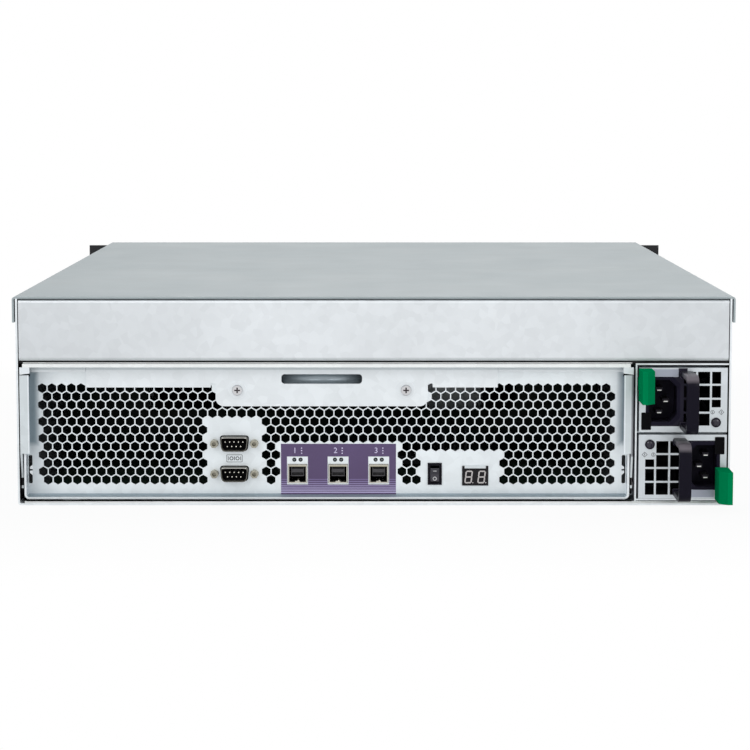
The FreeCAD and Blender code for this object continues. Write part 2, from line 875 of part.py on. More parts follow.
round_corners(drive_cage, "y", cage_corners, INSIDE_BEND, "drive_cage_corners")


# Backplane behind the cage: a vented board with one socket for each drive

BACKPLANE_Y = f"({CAGE_BACK} - board_thickness)"
DRIVE_BACK = f"({FRONT} - drive_setback - drive_length)"
vents = [
    rectangle(
        (
            f"{cell_x(column)} - backplane_vent_width / 2",
            f"{cell_x(column)} + backplane_vent_width / 2",
        ),
        (
            f"{cell_z(row)} + bay_pitch_z - 2 * bay_sheet - backplane_vent_height",
            f"{cell_z(row)} + bay_pitch_z - 2 * bay_sheet",
        ),
    )
    for row in ROWS
    for column in COLUMNS
]
backplane_board = pulled("backplane_board", "XZ_Plane", cage_outline, BACKPLANE_Y, CAGE_BACK)
pocket(backplane_board, outlines(backplane_board, "XZ_Plane", vents, "backplane_vents"))
sockets = [
    block(
        f"drive_socket_{row * len(COLUMNS) + column + 1}",
        (f"{cell_x(column)} - socket_width / 2", f"{cell_x(column)} + socket_width / 2"),
        (CAGE_BACK, f"{DRIVE_BACK} - fit_clearance"),
        (
            f"{cell_z(row)} + socket_raise",
            f"{cell_z(row)} + socket_raise + socket_height",
        ),
    )
    for row in ROWS
    for column in COLUMNS
]
backplane = group("backplane", backplane_board, *sockets)


# Fan wall with three fans that draw air through the drives

FAN_BACK = "(fan_wall_y - fan_depth)"
fan_x = [f"({place} * fan_pitch)" for place in (-1, 0, 1)]
wall_outline = rectangle((f"-{WALL}", WALL), ("chassis_sheet", PANEL_HIGH))
fan_wall = pulled(
    "fan_wall", "XZ_Plane", wall_outline, "fan_wall_y", "fan_wall_y + chassis_sheet"
)
bores = [(x, "fan_centre_height") for x in fan_x]
pocket(fan_wall, circles(fan_wall, "XZ_Plane", bores, "fan_bore_radius", "fan_openings"))
wall_corners = [(x, "chassis_sheet") for x in (f"-{WALL}", WALL)]
round_corners(fan_wall, "y", wall_corners, INSIDE_BEND, "fan_wall_corners")


def fan_frame(name, size, bore, depth, hub, strut, spindle):
    """A square fan housing with its motor mount and spindle, its rear face at y = 0"""
    half = f"({size}) / 2"
    square = pulled(
        f"{name}_square", "XZ_Plane", rectangle((f"-{half}", half), (f"-{half}", half)), "0", depth
    )
    pocket(square, circles(square, "XZ_Plane", [("0", "0")], bore, f"{name}_bore"))
    across = (f"-{strut} / 2", f"{strut} / 2")
    whole = (f"-{half}", half)
    upright = block(f"{name}_upright", across, ("0", strut), whole)
    level = block(f"{name}_level", whole, ("0", strut), across)
    mount = rod(f"{name}_mount", "y", ("0", "0", "0"), hub, strut)
    pin = rod(f"{name}_spindle", "y", ("0", "0", "0"), spindle, f"{depth} - {strut}")
    return fuse(name, square, upright, level, mount, pin)


def fan_rotor(name, bore, depth, hub, strut, spindle, blade_gap):
    """Hub and pitched blades that turn about the spindle"""
    start, end = f"({strut} + {blade_gap})", f"({depth} - 2 * {blade_gap})"
    body = new_body(name)
    pad(body, circles(body, "XZ_Plane", [("0", "0")], hub, f"{name}_hub", start), start, end)
    slant = f"({end} - {start}) / 2 * tan(fan_blade_angle)"
    blade = [
        (f"-{slant} - fan_blade_sheet / 2", f"{start} + fan_blade_sheet"),
        (f"-{slant} + fan_blade_sheet / 2", f"{start} + fan_blade_sheet"),
        (f"{slant} + fan_blade_sheet / 2", f"{end} - fan_blade_sheet"),
        (f"{slant} - fan_blade_sheet / 2", f"{end} - fan_blade_sheet"),
    ]
    root, tip = f"({hub} - fan_blade_root)", f"({bore} - 2 * {blade_gap})"
    pad(body, outline(body, "XY_Plane", blade, f"{name}_blade", root), root, tip)
    wheel = body.newObject("PartDesign::PolarPattern", f"{name}_blades")
    wheel.Originals = [doc.getObject(f"{name}_blade_pad")]
    wheel.Axis = (plane_of(body, "Y_Axis"), [""])
    wheel.Angle = 360
    bind(wheel, {"Occurrences": "fan_blades"})
    body.Tip = wheel
    doc.recompute()
    fit = f"{spindle} + running_clearance"
    pocket(body, circles(body, "XZ_Plane", [("0", "0")], fit, f"{name}_eye"))
    return body


FAN_PARTS = ("fan_bore_radius", "fan_depth", "fan_hub_radius", "fan_strut", "fan_spindle_radius")
frame_master = fan_frame("fan_frame", "fan_size", *FAN_PARTS)
rotor_master = fan_rotor("fan_rotor", *FAN_PARTS, "fan_blade_gap")
system_fan_frames = group(
    "system_fan_frames",
    *[
        placed(f"fan_frame_{n}", frame_master, x, FAN_BACK, "fan_centre_height")
        for n, x in enumerate(fan_x, 1)
    ],
)
system_fan_rotors = [
    placed(f"system_fan_rotor_{n}", rotor_master, x, FAN_BACK, "fan_centre_height")
    for n, x in enumerate(fan_x, 1)
]


# Midplane that the canister and the power modules plug into, with windows for the air

MIDPLANE_Y = f"({BAY_END} + midplane_gap)"
CANISTER_MIDDLE = f"(({CANISTER_LEFT} + {CANISTER_RIGHT}) / 2)"
midplane_shape = rectangle(
    (CANISTER_LEFT, f"{WALL} - module_side_gap"),
    ("chassis_sheet", "chassis_sheet + midplane_height"),
)
midplane_board = pulled(
    "midplane_board",
    "XZ_Plane",
    midplane_shape,
    MIDPLANE_Y,
    f"{MIDPLANE_Y} + board_thickness",
)
air_windows = [
    rectangle(
        (
            f"{CANISTER_MIDDLE} {side} midplane_window_offset - midplane_window_width / 2",
            f"{CANISTER_MIDDLE} {side} midplane_window_offset + midplane_window_width / 2",
        ),
        (
            "midplane_window_z - midplane_window_height / 2",
            "midplane_window_z + midplane_window_height / 2",
        ),
    )
    for side in ("-", "+")
]
pocket(midplane_board, outlines(midplane_board, "XZ_Plane", air_windows, "air_windows"))


def midplane_connector(name, x, z):
    return block(
        name,
        (f"{x} - midplane_connector_width / 2", f"{x} + midplane_connector_width / 2"),
        (f"{BAY_END} + fit_clearance", MIDPLANE_Y),
        (f"{z} - midplane_connector_height / 2", f"{z} + midplane_connector_height / 2"),
    )


PLUG_Z = "(canister_base + canister_sheet + board_standoff + midplane_connector_height / 2)"
midplane = group(
    "midplane",
    midplane_board,
    midplane_connector("canister_socket", CANISTER_MIDDLE, PLUG_Z),
    midplane_connector("module_socket_low", MODULE_X, MODULE_LOW_Z),
    midplane_connector("module_socket_high", MODULE_X, MODULE_HIGH_Z),
)


# Controller canister tray: floor and side walls folded from one sheet

LIP_TOP = "(bay_roof_height - fit_clearance)"
TRAY_TOP = f"({LIP_TOP} - bracket_lip)"
TRAY_FLOOR = "(canister_base + canister_sheet)"
PANEL_LEFT = f"({CANISTER_LEFT} + canister_sheet)"
PANEL_RIGHT = f"({CANISTER_RIGHT} - canister_sheet)"
tray_outline = [
    (CANISTER_LEFT, "canister_base"),
    (CANISTER_RIGHT, "canister_base"),
    (CANISTER_RIGHT, TRAY_TOP),
    (PANEL_RIGHT, TRAY_TOP),
    (PANEL_RIGHT, TRAY_FLOOR),
    (PANEL_LEFT, TRAY_FLOOR),
    (PANEL_LEFT, TRAY_TOP),
    (CANISTER_LEFT, TRAY_TOP),
]
canister_tray = pulled(
    "canister_tray", "XZ_Plane", tray_outline, f"{REAR} + canister_rim_setback", BAY_END
)
tray_corners = [(CANISTER_LEFT, "canister_base"), (CANISTER_RIGHT, "canister_base")]
tray_inside = [(PANEL_LEFT, TRAY_FLOOR), (PANEL_RIGHT, TRAY_FLOOR)]
INNER_CORNER = "canister_corner - canister_sheet"
round_corners(canister_tray, "y", tray_corners, "canister_corner", "tray_outer_bends")
round_corners(canister_tray, "y", tray_inside, INNER_CORNER, "tray_inner_bends")


# Canister panel: a recessed sheet with its ports cut out and a grille of true hexagons

canister_panel = pulled(
    "canister_panel",
    "XZ_Plane",
    rectangle((PANEL_LEFT, PANEL_RIGHT), (TRAY_FLOOR, TRAY_TOP)),
    PANEL_FACE,
    PANEL_REVERSE,
)
round_corners(canister_panel, "y", tray_inside, INNER_CORNER, "panel_corners")

SERIAL_Z = ["serial_upper_z", "serial_lower_z"]
SAS_X = [f"(sas_first_x + {number} * sas_pitch)" for number in range(3)]
SAS_OUTER = "(sas_opening_width / 2 + sas_cage_wall)"
SAS_RISE = "(sas_opening_height / 2 + sas_cage_wall)"


def window(x, z, half_width, half_height, gap="fit_clearance"):
    """A rectangular opening round the piece that fills it"""
    return rectangle(
        (f"{x} - {half_width} - {gap}", f"{x} + {half_width} + {gap}"),
        (f"{z} - {half_height} - {gap}", f"{z} + {half_height} + {gap}"),
    )


port_windows = [
    window("serial_centre_x", z, "serial_shell_width / 2", "serial_shell_height / 2")
    for z in SERIAL_Z
]
port_windows += [window(x, "sas_centre_z", SAS_OUTER, SAS_RISE) for x in SAS_X]
SWITCH_BODY_HALF = "(switch_bezel_width / 2 - fit_clearance)"
SWITCH_BODY_RISE = "(switch_bezel_height / 2 - fit_clearance)"
DISPLAY_BODY_HALF = "(display_width / 2 - display_body_inset)"
DISPLAY_BODY_RISE = "(display_height / 2 - display_body_inset)"
port_windows.append(
    window("switch_x", "switch_z", SWITCH_BODY_HALF, SWITCH_BODY_RISE, "running_clearance")
)
port_windows.append(
    window("display_x", "display_z", DISPLAY_BODY_HALF, DISPLAY_BODY_RISE, "running_clearance")
)
for slot in range(2):
    low = f"(edge_slot_low + {slot} * edge_slot_pitch)"
    rise = (low, f"{low} + edge_slot_height")
    left = (f"{PANEL_LEFT} + canister_sheet", f"{PANEL_LEFT} + canister_sheet + edge_slot_width")
    right = (f"{PANEL_RIGHT} - canister_sheet - edge_slot_width", f"{PANEL_RIGHT} - canister_sheet")
    port_windows += [rectangle(left, rise), rectangle(right, rise)]
pocket(canister_panel, outlines(canister_panel, "XZ_Plane", port_windows, "port_windows"))
captive_holes = [(x, "captive_height") for x in CAPTIVE_X]
captive_fit = "captive_shank_radius + fit_clearance"
pocket(
    canister_panel, circles(canister_panel, "XZ_Plane", captive_holes, captive_fit, "captive_holes")
)


def solid_zones():
    """Parts of the panel kept whole round the ports: left, right, bottom and top edges"""
    tab = "bracket_tab_width / 2"
    return [
        (
            measure("serial_centre_x - serial_flange_width / 2"),
            measure("serial_centre_x + serial_flange_width / 2"),
            measure("0"),
            measure("serial_upper_z + serial_flange_height"),
        ),
        (measure("label_left"), measure("label_right"), measure("0"), measure("label_top")),
        (
            measure("switch_x - switch_bezel_width"),
            measure("display_x + display_width"),
            measure("0"),
            measure("switch_z + switch_bezel_height"),
        ),
        (
            measure(f"bracket_tab_centre - {tab}"),
            measure(f"bracket_tab_centre + {tab}"),
            measure("bracket_tab_bottom + hex_across / 2"),
            measure(TRAY_TOP),
        ),
    ]


def grille_centres():
    """Centres of the staggered rows of hexagons, without those in the solid zones"""
    across = measure("hex_pitch")
    rise = across * math.cos(math.radians(30))
    reach = measure("hex_across") / math.sqrt(3)
    zones = solid_zones()
    rows = 1 + int((measure("hex_last_z") - measure("hex_first_z")) / rise)
    for row in range(rows):
        z = measure("hex_first_z") + row * rise
        shift = 0 if row % 2 else across / 2
        columns = 1 + int((measure("hex_last_x") - measure("hex_first_x") - shift) / across)
        for column in range(columns):
            x = measure("hex_first_x") + shift + column * across
            inside = (
                left - reach < x < right + reach and low - reach < z < high + reach
                for left, right, low, high in zones
            )
            if not any(inside):
                yield Vector(x, z, 0)


def grille_sketch(body):
    sketch = sketch_on(body, "XZ_Plane", "hex_grille", PANEL_FACE)
    reach = measure("hex_across") / math.sqrt(3)
    corners = [
        Vector(math.cos(math.radians(30 + 60 * step)), math.sin(math.radians(30 + 60 * step)), 0)
        for step in range(6)
    ]
    sides = []
    for centre in grille_centres():
        points = [centre + corner * reach for corner in corners]
        sides += [Part.LineSegment(a, b) for a, b in zip(points, points[1:] + points[:1])]
    sketch.addGeometry(sides, False)
    return sketch


pocket(canister_panel, grille_sketch(canister_panel))


# Bracket along the canister's upper rim: a lip, two wings and a middle tab with a pull slot

BRACKET_FACE = f"({PANEL_FACE} - canister_sheet)"
TAB_LEFT = "(bracket_tab_centre - bracket_tab_width / 2)"
TAB_RIGHT = "(bracket_tab_centre + bracket_tab_width / 2)"
WING = "bracket_wing_bottom"
NOTCH = "bracket_wing_bottom + bracket_notch_height"
bracket_outline = [
    ("bracket_left", TRAY_TOP),
    ("bracket_left", WING),
    (f"{TAB_LEFT} - bracket_notch_width", WING),
    (f"{TAB_LEFT} - bracket_notch_width", NOTCH),
    (TAB_LEFT, NOTCH),
    (TAB_LEFT, "bracket_tab_bottom"),
    (TAB_RIGHT, "bracket_tab_bottom"),
    (TAB_RIGHT, NOTCH),
    (f"{TAB_RIGHT} + bracket_notch_width", NOTCH),
    (f"{TAB_RIGHT} + bracket_notch_width", WING),
    ("bracket_right", WING),
    ("bracket_right", TRAY_TOP),
]
canister_bracket = pulled(
    "canister_bracket", "XZ_Plane", bracket_outline, BRACKET_FACE, PANEL_FACE
)
lip_shape = rectangle((CANISTER_LEFT, CANISTER_RIGHT), (TRAY_TOP, LIP_TOP))
lip = outline(canister_bracket, "XZ_Plane", lip_shape, "bracket_lip", REAR)
pad(canister_bracket, lip, REAR, PANEL_FACE)
tab_corners = [(TAB_LEFT, "bracket_tab_bottom"), (TAB_RIGHT, "bracket_tab_bottom")]
round_corners(canister_bracket, "y", tab_corners, "bracket_tab_corner", "bracket_corners")
collars = circles(
    canister_bracket,
    "XZ_Plane",
    captive_holes,
    "captive_collar_radius",
    "captive_collars",
    f"{BRACKET_FACE} - captive_collar_height",
)
pad(canister_bracket, collars, f"{BRACKET_FACE} - captive_collar_height", BRACKET_FACE)
pocket(
    canister_bracket,
    circles(canister_bracket, "XZ_Plane", captive_holes, captive_fit, "bracket_screw_holes"),
)
pull_x = (
    "bracket_tab_centre - pull_slot_width / 2",
    "bracket_tab_centre + pull_slot_width / 2",
)
pull_z = ("pull_slot_centre - pull_slot_height / 2", "pull_slot_centre + pull_slot_height / 2")
pocket(
    canister_bracket, outline(canister_bracket, "XZ_Plane", rectangle(pull_x, pull_z), "pull_slot")
)
pull_corners = [(x, z) for x in pull_x for z in pull_z]
round_corners(canister_bracket, "y", pull_corners, "pull_slot_corner", "pull_slot_corners")


# Captive screws that hold the canister to the bay roof's tabs

COLLAR_FACE = f"({BRACKET_FACE} - captive_collar_height)"
SCREW_END = f"({TAB_Y} + chassis_sheet + captive_reach)"
RING_Y = f"({PANEL_REVERSE} + captive_travel)"


def captive_screw(name, x):
    head = rod(
        f"{name}_head",
        "y",
        (x, f"{COLLAR_FACE} - captive_head_height", "captive_height"),
        "captive_head_radius",
        "captive_head_height",
    )
    shank = rod(
        f"{name}_shank",
        "y",
        (x, COLLAR_FACE, "captive_height"),
        "captive_shank_radius",
        f"{SCREW_END} - {COLLAR_FACE}",
    )
    ring = rod(
        f"{name}_ring",
        "y",
        (x, RING_Y, "captive_height"),
        "captive_ring_radius",
        "captive_ring_thickness",
    )
    return fuse(name, head, shank, ring)


captive_screws = [
    captive_screw(name, x)
    for name, x in zip(("captive_screw_left", "captive_screw_right"), CAPTIVE_X)
]


# Ejector levers that swing out beside the canister, and the pins they turn on

LEVER_X = f"({CANISTER_LEFT} - canister_channel / 2 - lever_sheet / 2)"
LEVER_FACE = f"({REAR} + running_clearance)"
PIVOT_Z = "lever_pivot_height"
foot_low = f"{PIVOT_Z} - lever_foot"
lever_outline = [
    (LEVER_FACE, "lever_flange_top"),
    (f"{LEVER_FACE} + lever_top_depth", "lever_flange_top"),
    (f"{PIVOT_Y} + lever_foot", "lever_flange_bottom"),
    (f"{PIVOT_Y} + lever_foot", foot_low),
    (f"{PIVOT_Y} - lever_foot", foot_low),
    (f"{PIVOT_Y} - lever_foot", f"{PIVOT_Z} + lever_foot"),
    (LEVER_FACE, "lever_flange_bottom"),
]
lever_arm = pulled(
    "lever_arm", "YZ_Plane", lever_outline, LEVER_X, f"{LEVER_X} + lever_sheet"
)
foot_corners = [lever_outline[3], lever_outline[4]]
round_corners(lever_arm, "x", foot_corners, "lever_foot_corner", "lever_foot_bends")
pin_fit = "lever_pin_radius + running_clearance"
pocket(lever_arm, circles(lever_arm, "YZ_Plane", [(PIVOT_Y, PIVOT_Z)], pin_fit, "lever_eye"))
lever_flange = block(
    "lever_flange",
    (LEVER_X, f"{LEVER_X} + lever_flange_width"),
    (LEVER_FACE, f"{LEVER_FACE} + lever_sheet"),
    ("lever_flange_bottom", "lever_flange_top"),
)
ejector_left = fuse("ejector_left", lever_arm, lever_flange)
ejector_right = mirrored("ejector_right", ejector_left, CANISTER_MIDDLE)

PIN_END = f"({LEVER_X} - lever_pin_head_height)"
pin_shank = rod(
    "pin_shank",
    "x",
    (PIN_END, PIVOT_Y, PIVOT_Z),
    "lever_pin_radius",
    f"{CANISTER_LEFT} - {PIN_END}",
)
pin_head = rod(
    "pin_head",
    "x",
    (PIN_END, PIVOT_Y, PIVOT_Z),
    "lever_pin_head_radius",
    f"{LEVER_X} - {PIN_END} - running_clearance",
)
pin_left = fuse("pin_left", pin_shank, pin_head)
pin_right = mirrored("pin_right", pin_left, CANISTER_MIDDLE)
ejector_pins = group("ejector_pins", pin_left, pin_right)


# Controller board on its standoffs, with the plug for the midplane

BOARD_LOW = f"({TRAY_FLOOR} + board_standoff)"
BOARD_TOP = f"({BOARD_LOW} + board_thickness)"
BOARD_LEFT = f"({PANEL_LEFT} + board_side_gap)"
BOARD_RIGHT = f"({PANEL_RIGHT} - board_side_gap)"
BOARD_END = f"({BAY_END} - board_back_gap)"
BOARD_START = f"({PANEL_REVERSE} + canister_rim_setback)"

circuit_board = block(
    "circuit_board", (BOARD_LEFT, BOARD_RIGHT), (BOARD_START, BOARD_END), (BOARD_LOW, BOARD_TOP)
)
board_feet = [
    rod(
        f"board_foot_{row}_{column}",
        "z",
        (
            f"{BOARD_LEFT} + {column} * ({BOARD_RIGHT} - {BOARD_LEFT}) / 3",
            f"{BOARD_START} + {row} * ({BOARD_END} - {BOARD_START}) / 3",
            TRAY_FLOOR,
        ),
        "board_standoff_radius",
        "board_standoff",
    )
    for row in (1, 2)
    for column in (1, 2)
]
board_plug = block(
    "board_plug",
    (
        f"{CANISTER_MIDDLE} - midplane_connector_width / 2",
        f"{CANISTER_MIDDLE} + midplane_connector_width / 2",
    ),
    (BOARD_END, BAY_END),
    (
        f"{PLUG_Z} - midplane_connector_height / 2",
        f"{PLUG_Z} + midplane_connector_height / 2",
    ),
)


def chip(name, x, y):
    return block(
        name,
        (f"{x} - chip_size / 2", f"{x} + chip_size / 2"),
        (f"{y} - chip_size / 2", f"{y} + chip_size / 2"),
        (BOARD_TOP, f"{BOARD_TOP} + chip_height"),
    )


BOARD_MIDDLE_Y = f"(({BOARD_START} + {BOARD_END}) / 2)"
HEATSINK_X = f"({CANISTER_MIDDLE} + chip_offset)"
expander = chip("expander", HEATSINK_X, BOARD_MIDDLE_Y)
controller = chip("controller", f"({CANISTER_MIDDLE} - chip_offset)", BOARD_MIDDLE_Y)
controller_board = group(
    "controller_board", circuit_board, *board_feet, board_plug, expander, controller
)

HEATSINK_LOW = f"({BOARD_TOP} + chip_height)"
heatsink_x = (f"{HEATSINK_X} - heatsink_size / 2", f"{HEATSINK_X} + heatsink_size / 2")
heatsink_y = (f"{BOARD_MIDDLE_Y} - heatsink_size / 2", f"{BOARD_MIDDLE_Y} + heatsink_size / 2")
heatsink_plate = block(
    "heatsink_plate", heatsink_x, heatsink_y, (HEATSINK_LOW, f"{HEATSINK_LOW} + heatsink_base")
)
fins = []
for number in range(int(measure("heatsink_fins"))):
    fin_x = f"({heatsink_x[0]} + {number} * (heatsink_size - heatsink_fin) / (heatsink_fins - 1))"
    fin_z = (f"{HEATSINK_LOW} + heatsink_base", f"{HEATSINK_LOW} + heatsink_height")
    fins.append(block(f"fin_{number}", (fin_x, f"{fin_x} + heatsink_fin"), heatsink_y, fin_z))
expander_heatsink = fuse("expander_heatsink", heatsink_plate, *fins)


# Two serial ports, one above the other: D-shaped shells with five pins over four

SERIAL_FLANGE = f"({PANEL_FACE} - serial_shell_wall)"
SERIAL_TIP = f"({SERIAL_FLANGE} - serial_shell_reach)"


def serial_shell_outline(z, inset):
    """The D shape of a serial shell, wider at its top"""
    half = f"(serial_shell_width / 2 - {inset})"
    rise = f"(serial_shell_height / 2 - {inset})"
    return [
        (f"serial_centre_x - {half} + serial_shell_taper", f"{z} - {rise}"),
        (f"serial_centre_x + {half} - serial_shell_taper", f"{z} - {rise}"),
        (f"serial_centre_x + {half}", f"{z} + {rise}"),
        (f"serial_centre_x - {half}", f"{z} + {rise}"),
    ]


def serial_face(name, z):
    flange = rectangle(
        (
            "serial_centre_x - serial_flange_width / 2",
            "serial_centre_x + serial_flange_width / 2",
        ),
        (f"{z} - serial_flange_height / 2", f"{z} + serial_flange_height / 2"),
    )
    face = pulled(name, "XZ_Plane", flange, SERIAL_FLANGE, PANEL_FACE)
    outer = serial_shell_outline(z, "0")
    shell_sketch = outline(face, "XZ_Plane", outer, f"{name}_shell", SERIAL_TIP)
    pad(face, shell_sketch, SERIAL_TIP, SERIAL_FLANGE)
    round_corners(face, "y", outer, "serial_shell_taper", f"{name}_bends")
    inner = serial_shell_outline(z, "serial_shell_wall")
    mouth = outline(face, "XZ_Plane", inner, f"{name}_mouth", SERIAL_TIP)
    pocket(face, mouth, SERIAL_TIP, SERIAL_FLANGE)
    return face


def serial_pin(name, x, z):
    return block(
        name,
        (f"{x} - serial_pin_radius", f"{x} + serial_pin_radius"),
        (f"{SERIAL_TIP} + serial_shell_wall", SERIAL_FLANGE),
        (f"{z} - serial_pin_radius", f"{z} + serial_pin_radius"),
    )


serial_pieces = [
    block(
        "serial_housing",
        (
            "serial_centre_x - serial_flange_width / 2",
            "serial_centre_x + serial_flange_width / 2",
        ),
        (PANEL_REVERSE, f"{PANEL_REVERSE} + serial_housing_depth"),
        (BOARD_TOP, "serial_upper_z + serial_flange_height / 2"),
    )
]
for port, z in enumerate(SERIAL_Z, 1):
    serial_pieces.append(serial_face(f"serial_face_{port}", z))
    for row, (count, side) in enumerate(((5, "+"), (4, "-"))):
        for place in range(count):
            x = f"(serial_centre_x + {place - (count - 1) / 2} * serial_pin_pitch)"
            pin_z = f"({z} {side} serial_row_pitch / 2)"
            serial_pieces.append(serial_pin(f"serial_pin_{port}_{row}_{place}", x, pin_z))
serial_ports = group("serial_ports", *serial_pieces)


def jack_nut(name, x, z):
    """A hexagonal standoff beside a serial port"""
    nut = doc.addObject("Part::Prism", name)
    nut.Polygon = 6
    nut.Placement.Rotation = TURN_TO["y"]
    move(nut, x, f"{SERIAL_FLANGE} - serial_nut_reach", z)
    return bind(nut, {"Circumradius": "serial_nut_radius", "Height": "serial_nut_reach"})


serial_standoffs = group(
    "serial_standoffs",
    *[
        jack_nut(f"jack_nut_{port}_{number}", f"serial_centre_x {side} serial_screw_spacing / 2", z)
        for port, z in enumerate(SERIAL_Z, 1)
        for number, side in enumerate(("-", "+"), 1)
    ],
)


# Three caged drive-link ports and the label round them

CAGE_FRONT = f"({PANEL_FACE} - sas_cage_reach)"
CAGE_REAR = f"({PANEL_FACE} + sas_cage_depth)"


def link_port(name, x):
    cage = block(
        f"{name}_cage",
        (f"{x} - {SAS_OUTER}", f"{x} + {SAS_OUTER}"),
        (CAGE_FRONT, CAGE_REAR),
        (f"sas_centre_z - {SAS_RISE}", f"sas_centre_z + {SAS_RISE}"),
    )
    mouth = block(
        f"{name}_mouth",
        (f"{x} - sas_opening_width / 2", f"{x} + sas_opening_width / 2"),
        (CAGE_FRONT, f"{CAGE_REAR} - sas_back_wall"),
        ("sas_centre_z - sas_opening_height / 2", "sas_centre_z + sas_opening_height / 2"),
    )
    tongue = block(
        f"{name}_tongue",
        (f"{x} - sas_tongue_width / 2", f"{x} + sas_tongue_width / 2"),
        (f"{CAGE_REAR} - sas_tongue_length", CAGE_REAR),
        (
            "sas_centre_z - sas_tongue_drop - sas_tongue_thickness",
            "sas_centre_z - sas_tongue_drop",
        ),
    )
    return fuse(name, cut(f"{name}_shell", cage, mouth), tongue)


link_ports = [link_port(f"link_port_{n}", x) for n, x in enumerate(SAS_X, 1)]
sas_ports = group("sas_ports", *link_ports)

port_label = pulled(
    "port_label",
    "XZ_Plane",
    rectangle(("label_left", "label_right"), ("label_bottom", "label_top")),
    f"{PANEL_FACE} - label_thickness",
    PANEL_FACE,
)
label_windows = [
    rectangle(
        (f"{x} - label_window_width / 2", f"{x} + label_window_width / 2"),
        ("label_window_bottom", "label_window_top"),
    )
    for x in SAS_X
]
pocket(port_label, outlines(port_label, "XZ_Plane", label_windows, "label_windows"))


# Power switch: a housing in the panel and the rocker that tilts in it

BEZEL_FACE = f"({PANEL_FACE} - switch_bezel_reach)"
ROCKER_Y = f"({PANEL_FACE} + rocker_pivot_inset)"
SWITCH_INNER = "(switch_bezel_width / 2 - switch_wall)"


def centred(x, half):
    return (f"{x} - {half}", f"{x} + {half}")


switch_bezel = block(
    "switch_bezel",
    centred("switch_x", "switch_bezel_width / 2"),
    (BEZEL_FACE, PANEL_FACE),
    centred("switch_z", "switch_bezel_height / 2"),
)
switch_body = block(
    "switch_body",
    centred("switch_x", SWITCH_BODY_HALF),
    (PANEL_FACE, f"{PANEL_FACE} + switch_body_depth"),
    centred("switch_z", SWITCH_BODY_RISE),
)
switch_well = block(
    "switch_well",
    centred("switch_x", SWITCH_INNER),
    (BEZEL_FACE, f"{ROCKER_Y} + rocker_half_height"),
    centred("switch_z", "(switch_bezel_height / 2 - switch_wall)"),
)
PIN_HALF = f"({SWITCH_INNER} + switch_wall / 2)"
pin_well = rod(
    "pin_well",
    "x",
    (f"switch_x - {PIN_HALF}", ROCKER_Y, "switch_z"),
    "rocker_pin_radius + running_clearance",
    f"2 * {PIN_HALF}",
)
power_switch_housing = cut(
    "power_switch_housing", fuse("switch_blank", switch_bezel, switch_body), switch_well, pin_well
)


def tilted(y, z):
    """A corner of the rocker, tilted about its pin to the off position"""
    return (
        f"{ROCKER_Y} + ({y}) * cos(rocker_angle) - ({z}) * sin(rocker_angle)",
        f"switch_z + ({y}) * sin(rocker_angle) + ({z}) * cos(rocker_angle)",
    )


rocker_outline = [
    tilted("-rocker_stand", "rocker_half_height"),
    tilted("rocker_dip - rocker_stand", "0"),
    tilted("-rocker_stand", "-rocker_half_height"),
    tilted("rocker_back", "-rocker_back_half"),
    tilted("rocker_back", "rocker_back_half"),
]
ROCKER_HALF = f"({SWITCH_INNER} - fit_clearance)"
rocker_body = pulled(
    "rocker_body",
    "YZ_Plane",
    rocker_outline,
    f"switch_x - {ROCKER_HALF}",
    f"switch_x + {ROCKER_HALF}",
)
rocker_pin = rod(
    "rocker_pin",
    "x",
    (f"switch_x - {PIN_HALF} + running_clearance", ROCKER_Y, "switch_z"),
    "rocker_pin_radius",
    f"2 * ({PIN_HALF} - running_clearance)",
)
power_switch_rocker = fuse("power_switch_rocker", rocker_body, rocker_pin)


# Two-digit display for the enclosure number

DISPLAY_FACE = f"({PANEL_FACE} - display_reach)"
display_bezel = block(
    "display_bezel",
    centred("display_x", "display_width / 2"),
    (DISPLAY_FACE, PANEL_FACE),
    centred("display_z", "display_height / 2"),
)
display_body = block(
    "display_body",
    centred("display_x", DISPLAY_BODY_HALF),
    (PANEL_FACE, f"{PANEL_FACE} + display_depth"),
    centred("display_z", DISPLAY_BODY_RISE),
)
id_display = fuse("id_display", display_bezel, display_body)


# Power module, drawn about its own axis with its rear face at y = 0

MODULE_HALF = "(module_width / 2)"
MODULE_RISE = "(module_height / 2)"
INNER_HALF = f"({MODULE_HALF} - module_sheet)"
INNER_RISE = f"({MODULE_RISE} - module_sheet)"

module_shape = rectangle((f"-{MODULE_HALF}", MODULE_HALF), (f"-{MODULE_RISE}", MODULE_RISE))
module_shell = pulled("module_shell", "XZ_Plane", module_shape, "0", "module_depth")
module_room = rectangle((f"-{INNER_HALF}", INNER_HALF), (f"-{INNER_RISE}", INNER_RISE))
pocket(
    module_shell,
    outline(module_shell, "XZ_Plane", module_room, "module_room", "module_sheet"),
    "module_sheet",
    "module_depth",
)

inlet_outline = [
    ("inlet_left", "inlet_bottom"),
    ("inlet_right - inlet_chamfer", "inlet_bottom"),
    ("inlet_right", "inlet_bottom + inlet_chamfer"),
    ("inlet_right", "inlet_top - inlet_chamfer"),
    ("inlet_right - inlet_chamfer", "inlet_top"),
    ("inlet_left", "inlet_top"),
]
GRID_STEP = "(grid_hole + grid_bar)"
face_holes = [inlet_outline]
for row in range(4):
    top = f"(grid_top - {row} * {GRID_STEP})"
    for column in range(2):
        left = f"(grid_left + {column} * {GRID_STEP})"
        face_holes.append(rectangle((left, f"{left} + grid_hole"), (f"{top} - grid_hole", top)))
NARROW = f"(grid_left + 2 * {GRID_STEP})"
for row, depth in enumerate(("grid_hole", "grid_hole", "grid_short")):
    top = f"(grid_top - {row} * {GRID_STEP})"
    face_holes.append(rectangle((NARROW, f"{NARROW} + grid_narrow"), (f"{top} - {depth}", top)))
LATCH_LOW = "latch_arm_inset"
LATCH_HIGH = "(latch_tab_height - latch_arm_inset)"
